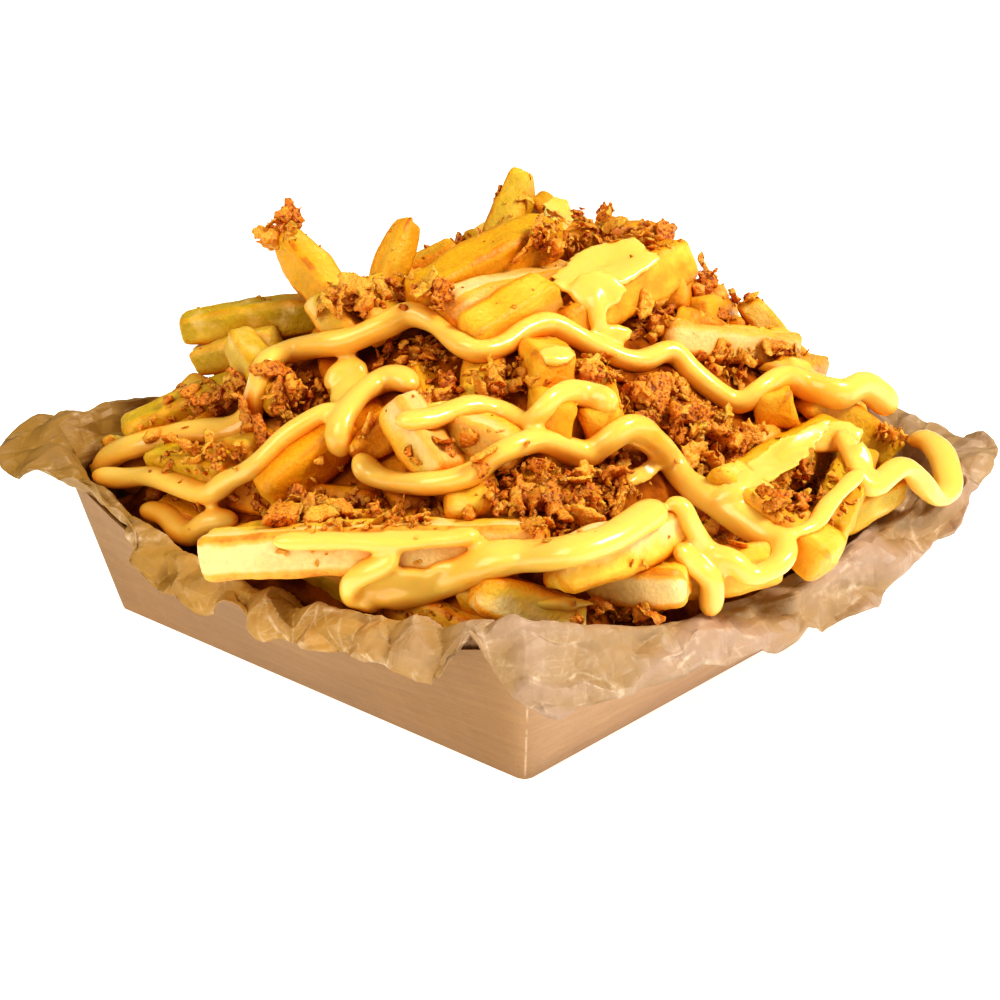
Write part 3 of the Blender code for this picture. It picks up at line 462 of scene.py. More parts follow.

# Painted shade: tints for the heap's crevices and how deep those reach, the dark of the deep gaps and the
# board's left side; and the board's specks
CREVICE_DEPTH = 7 * MM
POTATO_CREVICE_SHADE = (0.86, 0.58, 0.14)
CHEESE_CREVICE_SHADE = (1.0, 0.68, 0.3)
ONION_CREVICE_SHADE = (0.8, 0.55, 0.3)
DEEPEST_GAP_SHADE = (0.14, 0.022, 0.001)
LESS_DEEP_GAP_SHADE = (0.42, 0.12, 0.006)
SHADED_BOARD = (0.66, 0.60, 0.43)
BOARD_SPECK = (0.12, 0.05, 0.02)

# Lights: how far back to the eye, across and up they stand from the point they face, their size and colour
LIT_POINT = Vector((0, 0, 0.05))
KEY_LIGHT = ((0.22, 0.48, 0.5), 0.18, (1.0, 0.97, 0.93))
FILL_LIGHT = ((0.5, -0.5, 0.3), 0.5, (1.0, 0.92, 0.80))
FLOOR_SIZE = 40

# What all settings of a colour have in common
COLOUR = {"subtype": "COLOR", "min": 0, "max": 1}

# What the operators hand on: fries and deep body, the paper sheet, and search trees of finished pieces
laid = {"pieces": []}


def outline(half_x, half_y, radius, per_side, per_corner):
    """Stations round a rounded rectangle from its near corner, +X -Y, as (point, outward, turn)."""
    stations = []
    corners = ((1, -1), (1, 1), (-1, 1), (-1, -1))
    per_quarter = per_side + per_corner
    for quarter, (sign_x, sign_y) in enumerate(corners):
        centre = Vector((sign_x * (half_x - radius), sign_y * (half_y - radius)))
        start = math.radians(90 * quarter - 90)
        for k in range(per_corner + 1):
            angle = start + math.radians(90) * k / per_corner
            outward = Vector((math.cos(angle), math.sin(angle)))
            turn = (quarter + (k / per_corner - 0.5) * per_corner / per_quarter) / 4
            stations.append((centre + outward * radius, outward, turn % 1))
        next_x, next_y = corners[(quarter + 1) % 4]
        first = centre + outward * radius
        last = Vector((next_x * (half_x - radius), next_y * (half_y - radius))) + outward * radius
        for k in range(1, per_side):
            turn = (quarter + (per_corner / 2 + k) / per_quarter) / 4
            stations.append((first.lerp(last, k / per_side), outward, turn % 1))
    return stations


def rim_height(middle):
    """Height of the rim, given how near a place is to the middle of its side."""
    return RIM_CORNER - RIM_DIP * middle


def wall_ring(height, inset, per_side=WALL_PER_SIDE, per_corner=WALL_PER_CORNER):
    """The tray's wall at a share of its height, moved inwards by inset, as (point, outward, turn)."""
    half_x = BASE_X / 2 + FLARE * height
    half_y = BASE_Y / 2 + FLARE * height
    radius = max(CORNER_RADIUS - inset, LEAST_RADIUS)
    ring = []
    for point, outward, turn in outline(half_x - inset, half_y - inset, radius, per_side, per_corner):
        if abs(outward.x) > abs(outward.y):
            off_middle = point.y / (half_y - CORNER_RADIUS)
        else:
            off_middle = point.x / (half_x - CORNER_RADIUS)
        middle = max(0, 1 - off_middle**2)
        at = point + outward * RIM_BOW * middle * height**WALL_POWER
        ring.append((Vector((at.x, at.y, rim_height(middle) * height)), outward, turn))
    return ring


def points_of(ring):
    """The bare points of a ring of stations."""
    return [point for point, *_ in ring]


def crease(turn, waves, seed):
    """An uneven zigzag round the tray, from -1 to 1, with sharp folds like creased paper."""
    draw = random.Random(seed)
    total = 0.0
    for wave in waves:
        place = turn * wave + draw.random()
        total += 4 * abs(place - math.floor(place + 0.5)) - 1
    return total / len(waves)


def paper_edge(turn):
    """The four sizes of PAPER_EDGE at a place round the tray, in metres."""
    place = (turn % 1) * len(PAPER_EDGE)
    low = int(place) % len(PAPER_EDGE)
    high = (low + 1) % len(PAPER_EDGE)
    share = place - int(place)
    share = share * share * (3 - 2 * share)
    return [(a + (b - a) * share) * MM for a, b in zip(PAPER_EDGE[low], PAPER_EDGE[high])]


def paper_rings(per_side=WALL_PER_SIDE, per_corner=WALL_PER_CORNER):
    """Rings of the paper's middle surface, from the floor up the wall, over the rim and down to the hem."""
    rings = [points_of(wall_ring(height, LINER_INSET, per_side, per_corner)) for height in WALL_LEVELS]
    for point in rings[0]:
        point.z = LINER_INSET
    top = wall_ring(1, LINER_INSET, per_side, per_corner)
    for kind, (rising, fold_share, hem_share, hang, rucked) in enumerate(PAPER_FOLD):
        ring = []
        for point, outward, turn in top:
            rise, fold_out, drop, hem_out = paper_edge(turn)
            ruck = CRUMPLE * rucked * crease(turn, CRUMPLE_WAVES, kind)
            out = fold_out * fold_share + (hem_out - fold_out) * hem_share + ruck
            if fold_share:
                out += LINER_INSET
            if fold_share == 1:
                out = max(out, LINER_INSET + HEM_CLEARANCE)
            z = point.z + max(rise * rising + CRUMPLE_RISE * ruck, LEAST_RISE) - drop * hang
            if hang == 1:
                z += HEM_RAGGEDNESS * crease(turn, HEM_WAVES, HEM_SEED)
            ring.append(Vector((point.x + outward.x * out, point.y + outward.y * out, z)))
        rings.append(ring)
    return rings


def mound_height(x, y):
    """Height of the mound's surface over a place on the tray. Takes numbers or arrays."""
    share = (abs(x) / MOUND_X) ** MOUND_POWER + (abs(y) / MOUND_Y) ** MOUND_POWER
    return MOUND_FOOT + (MOUND_TOP - MOUND_FOOT) * (1 - share ** (2 / MOUND_POWER))


def from_eye(seen):
    """The point seen at (across, up) from the aim point and brought towards the eye, all in mm."""
    on_plane = AIM + ACROSS * seen[0] * MM + UPWARD * seen[1] * MM
    return EYE + (on_plane - EYE) * (1 - seen[2] * MM / EYE_DISTANCE)


def as_seen(points):
    """Across, up and back coordinates of points from the eye, with perspective."""
    away = points - np.array(EYE)
    across, up, back = (away @ np.array(axis) for axis in (ACROSS, UPWARD, BACK))
    return np.stack((across / -back * EYE_DISTANCE, up / -back * EYE_DISTANCE, back), -1)


def closest(a0, a1, b0, b1):
    """Shares along rows of segments a and b where they come closest, and the gap from b to a there."""
    along_a, along_b = a1 - a0, b1 - b0
    apart = a0 - b0
    aa = (along_a**2).sum(-1)
    bb = (along_b**2).sum(-1)
    ab = (along_a * along_b).sum(-1)
    ra = (along_a * apart).sum(-1)
    rb = (along_b * apart).sum(-1)
    s = np.clip((ab * rb - ra * bb) / np.maximum(aa * bb - ab * ab, 1e-12), 0, 1)
    t = np.clip((ab * s + rb) / bb, 0, 1)
    s = np.clip((ab * t - ra) / aa, 0, 1)
    gap = apart + along_a * s[..., None] - along_b * t[..., None]
    return s, t, gap


def hold_length(ends, length):
    """Brings each fry back to its own length about its middle."""
    middle = ends.mean(1)
    along = ends[:, 1] - ends[:, 0]
    along *= (length / np.maximum(np.linalg.norm(along, axis=1), 1e-9))[:, None] / 2
    ends[:, 0] = middle - along
    ends[:, 1] = middle + along


def paper_crest(x, y):
    """Height that clears the paper's fold at the wall nearest to a place."""
    across_x, across_y = x / (BASE_X / 2 + FLARE), y / (BASE_Y / 2 + FLARE)
    if abs(across_x) > abs(across_y):
        middle = 1 - min(across_y**2, 1)
        turn = (across_y + 1) / 8 if x > 0 else 0.5 + (1 - across_y) / 8
    else:
        middle = 1 - min(across_x**2, 1)
        turn = 0.25 + (1 - across_x) / 8 if y > 0 else 0.75 + (across_x + 1) / 8
    return rim_height(middle) + paper_edge(turn)[0] + CREST_SPARE


def keep_in_paper(ends, reach):
    """Moves the ends of low fries in from the paper's walls, or up on to its fold where that is nearer."""
    halves = np.array((BASE_X / 2, BASE_Y / 2))
    for side in (0, 1):
        point = ends[:, side]
        lift = np.array([paper_crest(x, y) for x, y, _ in point]) + reach - point[:, 2]
        height = np.clip((point[:, 2] - reach) / RIM_CORNER, 0, 1)[:, None]
        middle = 1 - np.clip(point[:, 1::-1] / halves[::-1], -1, 1) ** 2
        wall = halves + FLARE * height + RIM_BOW * middle * height**WALL_POWER
        limit = wall - CORE_INSET - DIAGONAL_REACH * reach[:, None]
        past = (np.abs(point[:, :2]) - limit).max(1)
        up = (lift > 0) & (lift < past)
        point[up, 2] += lift[up]
        inwards = (lift > 0) & ~up
        point[inwards, :2] = np.clip(point[inwards, :2], -limit[inwards], limit[inwards])


def keep_on_mound(ends, reach):
    """Holds the filling fries under the mound's surface, deeper where the shown fries lie over them."""
    facing = np.array(BACK)
    facing[2] = 0
    facing /= np.linalg.norm(facing)
    for side in (0, 1):
        point = ends[:, side]
        dressed = np.clip((point @ facing + UNDER_FROM) / UNDER_OVER, 0, 1)
        top = mound_height(point[:, 0], point[:, 1]) - reach * FILL_SINK - UNDER_DEPTH * dressed
        point[:, 2] = np.clip(point[:, 2], top - FILL_DEPTH, top)


def ease_apart(ends, reach, fill):
    """Moves crossing fries apart until they just bite into each other.

    The shown ones only go along the line of sight, so that they stay where they are seen.
    """
    length = np.linalg.norm(ends[:, 1] - ends[:, 0], axis=1)
    sight = ends - np.array(EYE)
    sight /= np.linalg.norm(sight, axis=2)[:, :, None]
    give = np.where(fill, 1.0, SHOWN_SHIFT)
    i, j = np.triu_indices(len(ends), 1)
    for _ in range(EASE_ROUNDS):
        s, t, gap = closest(ends[i, 0], ends[i, 1], ends[j, 0], ends[j, 1])
        far = np.maximum(np.linalg.norm(gap, axis=1), 1e-6)
        deep = np.maximum(reach[i] + reach[j] - BITE - far, 0)
        share = give[i] / (give[i] + give[j])
        push = gap / far[:, None] * deep[:, None] * EASE_STEP
        shift = np.zeros_like(ends)
        weight = np.zeros(ends.shape[:2])
        for which, at, part, sign in ((i, s, share, 1), (j, t, 1 - share, -1)):
            for side, near in ((0, 1 - at), (1, at)):
                np.add.at(shift[:, side], which, sign * push * (part * near)[:, None])
                np.add.at(weight[:, side], which, (deep > 0) * near)
        shift /= np.maximum(weight, 1)[:, :, None]
        along_sight = (shift * sight).sum(2)[:, :, None] * sight
        ends += np.where(fill[:, None, None], shift, along_sight)
        ends_fill = ends[fill]
        keep_on_mound(ends_fill, reach[fill])
        hold_length(ends_fill, length[fill])
        ends[fill] = ends_fill
        keep_in_paper(ends, reach)
    return ends


def trial_fry(draw, reach):
    """Ends of one fry that lies on the mound at random, tilted as the mound's side is."""
    while True:
        x = draw.uniform(-MOUND_X, MOUND_X)
        y = draw.uniform(-MOUND_Y, MOUND_Y)
        if mound_height(x, y) > MOUND_FOOT:
            break
    heading = draw.uniform(0, math.pi)
    half = draw.uniform(FRY_SHORTEST, FRY_LONGEST) / 2
    run = Vector((math.cos(heading), math.sin(heading)))
    step = half * TILT_REACH
    high = mound_height(x + run.x * step, y + run.y * step)
    low = mound_height(x - run.x * step, y - run.y * step)
    tilt = math.atan2(high - low, 2 * step) + draw.uniform(-TILT_SPREAD, TILT_SPREAD)
    along = Vector((run.x * math.cos(tilt), run.y * math.cos(tilt), math.sin(tilt))) * half
    middle = Vector((x, y, (high + low) / 2 - reach))
    return np.array((middle - along, middle + along))


def crowding(trial, reach, ends, reaches, shown):
    """How far a trial fry would sit inside those already laid, and how far it would hide the shown ones."""
    _, _, gap = closest(trial[None, 0], trial[None, 1], ends[:, 0], ends[:, 1])
    deep = np.maximum(reach + reaches - np.linalg.norm(gap, axis=1), 0)
    flat = np.array((1, 1, 0))
    mine, theirs = as_seen(trial), as_seen(ends[:shown])
    s, t, gap = closest(mine[None, 0] * flat, mine[None, 1] * flat, theirs[:, 0] * flat, theirs[:, 1] * flat)
    my_back = mine[0, 2] + (mine[1, 2] - mine[0, 2]) * s
    their_back = theirs[:, 0, 2] + (theirs[:, 1, 2] - theirs[:, 0, 2]) * t
    over = np.maximum(reach + reaches[:shown] - np.linalg.norm(gap, axis=1), 0)
    hidden = np.where(my_back > their_back, over, 0)
    return float((deep**2).sum() + HIDING * (hidden**2).sum())


def lay_fries():
    """Every fry as (end, end, width, roll), in the same places each run."""
    draw = random.Random(FRY_SEED)
    ends = [np.array((from_eye(a), from_eye(b))) for a, b, _ in SHOWN_FRIES]
    reaches = [width * MM / 2 for *_, width in SHOWN_FRIES]
    for _ in range(FILL_FRIES):
        reach = FRY_SIZE / 2 * draw.uniform(*FRY_SPREAD)
        trials = []
        for _ in range(TRIALS):
            trial = trial_fry(draw, reach)[None]
            keep_on_mound(trial, np.array([reach]))
            keep_in_paper(trial, np.array([reach]))
            trials.append(trial[0])
        laid = np.array(ends), np.array(reaches), len(SHOWN_FRIES)
        ends.append(min(trials, key=lambda trial: crowding(trial, reach, *laid)))
        reaches.append(reach)
    fill = np.arange(len(ends)) >= len(SHOWN_FRIES)
    eased = ease_apart(np.array(ends), np.array(reaches), fill)
    fries = []
    for (a, b), reach in zip(eased, reaches):
        fries.append((Vector(a), Vector(b), 2 * reach, draw.uniform(-FRY_ROLL, FRY_ROLL)))
    return fries


def skin(bm, rings):
    """Quads between each closed ring of points and the next. Returns the rings' vertices."""
    rows = [[bm.verts.new(p) for p in ring] for ring in rings]
    for low, high in zip(rows, rows[1:]):
        for k in range(len(low)):
            n = (k + 1) % len(low)
            bm.faces.new((low[k], low[n], high[n], high[k]))
    return rows


def capped_skin(bm, rings):
    """A closed body through rings of points, with its two ends filled."""
    rows = skin(bm, rings)
    bm.faces.new(rows[0][::-1])
    bm.faces.new(rows[-1])


def fry_axes(a, b, roll):
    """The two unit directions across a fry, turned by its roll."""
    along = (b - a).normalized()
    side = along.cross(Vector((0, 0, 1)))
    if side.length < 0.2:
        side = along.cross(Vector((0, 1, 0)))
    side.normalize()
    up = side.cross(along)
    return side * math.cos(roll) + up * math.sin(roll), up * math.cos(roll) - side * math.sin(roll)


def add_plain_fry(bm, fry):
    """One fry as a square bar, to feel for the paper with."""
    a, b, width, roll = fry
    turned, lifted = fry_axes(a, b, roll)
    rings = []
    for share, size in FRY_STATIONS:
        centre = a.lerp(b, share)
        half = width / 2 * size
        square = ((1, -1), (1, 1), (-1, 1), (-1, -1))
        rings.append([centre + turned * (p * half) + lifted * (q * half) for p, q in square])
    capped_skin(bm, rings)


def tree_of(build):
    """A search tree of the shape that a function builds in a bmesh."""
    bm = bmesh.new()
    build(bm)
    tree = BVHTree.FromBMesh(bm)
    bm.free()
    return tree


def add_plain_paper(bm):
    """The paper's middle surface as its solid has it."""
    skin(bm, paper_rings())
    bmesh.ops.triangulate(bm, faces=bm.faces, quad_method="SHORT_EDGE")


def settle_in_paper(fries, paper):
    """Moves each fry that would touch the paper in towards the tray's middle, and up, a little at a time."""
    settled = []
    for a, b, width, roll in fries:
        for _ in range(SETTLE_STEPS):
            fry = (a, b, width + PAPER_SPARE, roll)
            if not tree_of(lambda bm: add_plain_fry(bm, fry)).overlap(paper):
                break
            middle = (a + b) / 2
            step = Vector((-middle.x, -middle.y, 0)).normalized() * SETTLE_STEP
            step.z = SETTLE_STEP / 2
            a = a + step
            b = b + step
        settled.append((a, b, width, roll))
    return settled


def spline(p0, p1, p2, p3, t):
    """The place at a share t between p1 and p2 of a smooth curve through four places."""
    bend = (3 * p1 - p0 - 3 * p2 + p3) * t**3 + (2 * p0 - 5 * p1 + 4 * p2 - p3) * t**2
    return (bend + (p2 - p0) * t + 2 * p1) / 2


def smooth_route(places, step):
    """Evenly spaced places on a smooth curve through the given ones."""
    places = [Vector(p) for p in places]
    padded = [2 * places[0] - places[1], *places, 2 * places[-1] - places[-2]]
    fine = []
    for four in zip(padded, padded[1:], padded[2:], padded[3:]):
        fine.extend(spline(*four, k / ROUTE_FINENESS) for k in range(ROUTE_FINENESS))
    fine.append(places[-1])
    run = [0.0]
    for a, b in zip(fine, fine[1:]):
        run.append(run[-1] + (b - a).length)
    count = max(2, round(run[-1] / step))
    route = []
    k = 0
    for n in range(count + 1):
        at = run[-1] * n / count
        while k < len(run) - 2 and run[k + 1] < at:
            k += 1
        share = (at - run[k]) / max(run[k + 1] - run[k], 1e-9)
        route.append(fine[k].lerp(fine[k + 1], share))
    return route


class FrySettings(bpy.types.PropertyGroup):
    """Sizes and colours of the fries."""

    spacing: FloatProperty(
        name="Station spacing", description="Distance between rings of a fry", default=1.1 * MM, unit="LENGTH"
    )
    section_points: IntProperty(
        name="Section points", description="Points round a fry's section", default=24, min=8
    )
    corner: FloatProperty(
        name="Corner radius", description="Rounding of the edges as a share of half-width", default=0.3
    )
    bow: FloatProperty(
        name="Bow", description="Most that a fry bends out of straight", default=1.8 * MM, unit="LENGTH"
    )
    dents: FloatProperty(name="Dents", description="Depth of the wide dents", default=1.0 * MM, unit="LENGTH")
    blisters: FloatProperty(
        name="Blisters", description="Height of the small blisters", default=0.2 * MM, unit="LENGTH"
    )
    gap_fries: IntProperty(
        name="Gap fries", description="Small fries that show deep in the gaps", default=30, min=0
    )
    cream: FloatVectorProperty(name="Cream", description="Pale potato", default=(0.94, 0.72, 0.33), **COLOUR)
    yellow: FloatVectorProperty(
        name="Yellow", description="Lightly fried potato", default=(0.92, 0.60, 0.07), **COLOUR
    )
    golden: FloatVectorProperty(
        name="Golden", description="Well fried potato", default=(0.86, 0.39, 0.008), **COLOUR
    )
    olive: FloatVectorProperty(
        name="Olive", description="Oily yellow potato", default=(0.55, 0.37, 0.005), **COLOUR
    )
    crust: FloatVectorProperty(
        name="Crust", description="Crisp edges and ends", default=(0.50, 0.13, 0.004), **COLOUR
    )


class SauceSettings(bpy.types.PropertyGroup):
    """Sizes and colour of the cheese sauce."""

    step: FloatProperty(
        name="Step", description="Distance between rings along a run", default=1.2 * MM, unit="LENGTH"
    )
    sides: IntProperty(name="Sides", description="Points round a run", default=12, min=6)
    slack: FloatProperty(
        name="Slack", description="Distance over which a run bridges hollows", default=3.2 * MM, unit="LENGTH"
    )
    flatness: FloatProperty(name="Flatness", description="Height of a run per width", default=0.75)
    unevenness: FloatProperty(name="Unevenness", description="How much a run's width varies", default=0.26)
    voxel: FloatProperty(
        name="Voxel", description="Grid that fuses the runs and pools", default=0.62 * MM, unit="LENGTH"
    )
    smoothing: IntProperty(name="Smoothing", description="Rounds of smoothing after fusing", default=8, min=0)
    cheese: FloatVectorProperty(
        name="Cheese", description="Cheese sauce", default=(1.0, 0.62, 0.125), **COLOUR
    )
    deep_cheese: FloatVectorProperty(
        name="Deep cheese", description="Sauce where it is thin or deep", default=(1.0, 0.46, 0.03), **COLOUR
    )


class OnionSettings(bpy.types.PropertyGroup):
    """Numbers, sizes and colours of the crisp onion."""

    flakes: IntProperty(name="Flakes", description="Flakes of onion in all", default=3750, min=0)
    kinds: IntProperty(name="Kinds", description="Different shapes of flake", default=18, min=1)
    smallest: FloatProperty(name="Smallest", description="Smallest flake", default=1.5 * MM, unit="LENGTH")
    largest: FloatProperty(name="Largest", description="Largest flake", default=13 * MM, unit="LENGTH")
    crumbs: IntProperty(name="Crumbs", description="Crumbs in all", default=350, min=0)
    pale: FloatVectorProperty(
        name="Pale", description="Lightly fried onion", default=(0.98, 0.50, 0.06), **COLOUR
    )
    brown: FloatVectorProperty(name="Brown", description="Fried onion", default=(0.68, 0.20, 0.005), **COLOUR)
    dark: FloatVectorProperty(name="Dark", description="Dark edges", default=(0.20, 0.035, 0.001), **COLOUR)


class PaperSettings(bpy.types.PropertyGroup):
    """Sizes and colours of the greaseproof paper."""

    per_side: IntProperty(name="Per side", description="Stations along a side", default=150, min=16)
    per_corner: IntProperty(name="Per corner", description="Stations round a corner", default=10, min=2)
    rows: IntProperty(name="Rows", description="Rows between two rings", default=7, min=2)
    thickness: FloatProperty(
        name="Thickness", description="Thickness of the sheet", default=0.14 * MM, unit="LENGTH"
    )
    pleats: FloatProperty(name="Pleats", description="Depth of hem pleats", default=2.0 * MM, unit="LENGTH")
    facets: FloatProperty(name="Facets", description="Depth of the crumples", default=2.0 * MM, unit="LENGTH")
    wrinkles: FloatProperty(name="Wrinkles", description="Depth of wrinkles", default=0.4 * MM, unit="LENGTH")
    tan: FloatVectorProperty(name="Tan", description="Dry paper", default=(0.415, 0.277, 0.187), **COLOUR)
    oiled: FloatVectorProperty(
        name="Oiled", description="Paper with oil in it", default=(0.37, 0.232, 0.11), **COLOUR
    )
    # Deeper yellow-brown mixed in towards the left: partly oil in the paper and partly painted shade
    soaked_and_shaded: FloatVectorProperty(
        name="Soaked and shaded", description="Paper soaked with oil", default=(0.46, 0.24, 0.022), **COLOUR
    )
    pale: FloatVectorProperty(
        name="Pale", description="Broken fibres along creases", default=(0.90, 0.74, 0.56), **COLOUR
    )


class TraySettings(bpy.types.PropertyGroup):
    """Colours of the board."""

    board: FloatVectorProperty(name="Board", description="Kraft board", default=(0.49, 0.30, 0.157), **COLOUR)
    fibre: FloatVectorProperty(name="Fibre", description="Dark fibres", default=(0.38, 0.20, 0.085), **COLOUR)
    # Pale board along the corner creases: worn fibres, and a painted highlight on the folds
    worn: FloatVectorProperty(
        name="Worn", description="Creased corners", default=(0.85, 0.66, 0.48), **COLOUR
    )


class StageSettings(bpy.types.PropertyGroup):
    """Light and floor."""

    key: FloatProperty(name="Key light", description="Power of the key light", default=5.6, unit="POWER")
    fill: FloatProperty(name="Fill light", description="Power of the fill light", default=2.9, unit="POWER")
    sky: FloatProperty(name="Sky", description="Strength of the surroundings", default=0.34)
    sky_colour: FloatVectorProperty(
        name="Sky colour", description="Colour of the surroundings", default=(1.0, 0.86, 0.58), **COLOUR
    )
    floor: FloatVectorProperty(name="Floor", description="Floor", default=(0.93, 0.93, 0.93), **COLOUR)
    glow: FloatProperty(name="Floor glow", description="How much the floor shines of itself", default=0.75)


def settings(group):
    """One group of this scene's settings."""
    return getattr(bpy.context.scene, "cheese_fries_" + group)


def set_input(tree, socket, value):
    """Sets a socket to a value, or links another socket to it."""
    if isinstance(value, bpy.types.NodeSocket):
        tree.links.new(value, socket)
    else:
        socket.default_value = value


def add_node(tree, kind, inputs=None, **choices):
    """A node of a kind with its choices and inputs set."""
    node = tree.nodes.new(kind)
    for name, choice in choices.items():
        setattr(node, name, choice)
    for key, value in (inputs or {}).items():
        set_input(tree, node.inputs[key], value)
    return node


def math_node(tree, operation, *values, clamp=False):
    """The result of a Math node."""
    node = add_node(tree, "ShaderNodeMath", dict(enumerate(values)), operation=operation, use_clamp=clamp)
    return node.outputs[0]


def times(tree, first, second, clamp=False):
    """Two numbers multiplied."""
    return math_node(tree, "MULTIPLY", first, second, clamp=clamp)


def plus(tree, first, second, clamp=False):
    """Two numbers added up."""
    return math_node(tree, "ADD", first, second, clamp=clamp)


def scaled(tree, value, factor, start):
    """A start and a number of times a value."""
    return math_node(tree, "MULTIPLY_ADD", value, factor, start)


def vector_node(tree, operation, *values):
    """The result of a Vector Math node."""
    node = add_node(tree, "ShaderNodeVectorMath", dict(enumerate(values)), operation=operation)
    return node.outputs["Value"] if operation in ("LENGTH", "DOT_PRODUCT") else node.outputs["Vector"]


def scaled_vector(tree, vector, factor):
    """A vector times a number."""
    inputs = {0: vector, "Scale": factor}
    return add_node(tree, "ShaderNodeVectorMath", inputs, operation="SCALE").outputs["Vector"]


def joined_vector(tree, x, y):
    """A vector from two numbers, with no third."""
    return add_node(tree, "ShaderNodeCombineXYZ", {0: x, 1: y}).outputs[0]


def mix_colour(tree, share, first, second, blend="MIX"):
    """Two colours mixed by a share, as a socket."""
    inputs = {0: share}
    for key, colour in ((6, first), (7, second)):
        inputs[key] = colour if isinstance(colour, bpy.types.NodeSocket) else (*colour, 1)
    return add_node(tree, "ShaderNodeMix", inputs, data_type="RGBA", blend_type=blend).outputs[2]


def tinted(tree, colour, tint):
    """A colour times another, or times a number."""
    return mix_colour(tree, 1.0, colour, tint, "MULTIPLY")


def ramp_node(tree, value, low, high):
    """A value spread from 0 at low to 1 at high, smoothly."""
    inputs = {"Value": value, "From Min": low, "From Max": high}
    return add_node(tree, "ShaderNodeMapRange", inputs, interpolation_type="SMOOTHSTEP").outputs["Result"]


def noise_node(tree, place, scale, detail=3, roughness=0.5, distortion=0):
    """A noise value from 0 to 1 round a place."""
    inputs = {"Vector": place, "Scale": scale, "Detail": detail, "Roughness": roughness}
    return add_node(tree, "ShaderNodeTexNoise", {**inputs, "Distortion": distortion}).outputs[0]


def object_place(tree):
    """Places in the object's own frame, in metres."""
    return add_node(tree, "ShaderNodeTexCoord").outputs["Object"]


def read_attribute(tree, name, socket="Fac"):
    """A value stored on the mesh."""
    return add_node(tree, "ShaderNodeAttribute", attribute_name=name).outputs[socket]


def new_material(name):
    """A material with a Principled shader, as (material, tree)."""
    material = bpy.data.materials.new(name)
    material.use_nodes = True
    return material, material.node_tree


def set_shader(tree, **values):
    """Sets the sockets of a material's shader, whose names are given with underscores."""
    for name, value in values.items():
        set_input(tree, tree.nodes["Principled BSDF"].inputs[name.replace("_", " ")], value)


def bump_normal(tree, height, distance, strength=1.0, normal=None):
    """A normal tilted by a height from 0 to 1 that stands for a distance."""
    inputs = {"Height": height, "Distance": distance, "Strength": strength}
    if normal:
        inputs["Normal"] = normal
    return add_node(tree, "ShaderNodeBump", inputs).outputs["Normal"]


def mottle_group():
    """Shader group: uneven fried colour, from a value that wanders over the surface at two sizes."""
    name = "fried mottle"
    if name in bpy.data.node_groups:
        return bpy.data.node_groups[name]
    group = bpy.data.node_groups.new(name, "ShaderNodeTree")
    for label in ("Patch Size", "Speck Size", "Offset"):
        group.interface.new_socket(label, in_out="INPUT", socket_type="NodeSocketFloat")
    for label in ("Patches", "Specks"):
        group.interface.new_socket(label, in_out="OUTPUT", socket_type="NodeSocketFloat")
    given = group.nodes.new("NodeGroupInput").outputs
    made = group.nodes.new("NodeGroupOutput").inputs
    shift = joined_vector(group, given["Offset"], given["Offset"])
    place = vector_node(group, "ADD", object_place(group), shift)
    for label, size, detail in (("Patches", "Patch Size", 2), ("Specks", "Speck Size", 3)):
        scale = math_node(group, "DIVIDE", 1.0, given[size])
        group.links.new(noise_node(group, place, scale, detail), made[label])
    return group


def mottle(tree, patch, speck, offset=0.0):
    """The two outputs of the mottle group in a material."""
    inputs = {"Patch Size": patch, "Speck Size": speck, "Offset": offset}
    node = add_node(tree, "ShaderNodeGroup", inputs, node_tree=mottle_group())
    return node.outputs["Patches"], node.outputs["Specks"]


def painted_crevice_shade(tree, colour, tint):
    """Painted shade: a colour darkened and warmed in the crevices of the heap, where ambient occlusion finds
    them and light reaches only through the food.
    """
    occlusion = add_node(tree, "ShaderNodeAmbientOcclusion", {"Distance": CREVICE_DEPTH}, samples=4)
    open_air = ramp_node(tree, occlusion.outputs["AO"], 0.3, 0.9)
    return tinted(tree, colour, mix_colour(tree, open_air, tint, (1.0, 1.0, 1.0)))


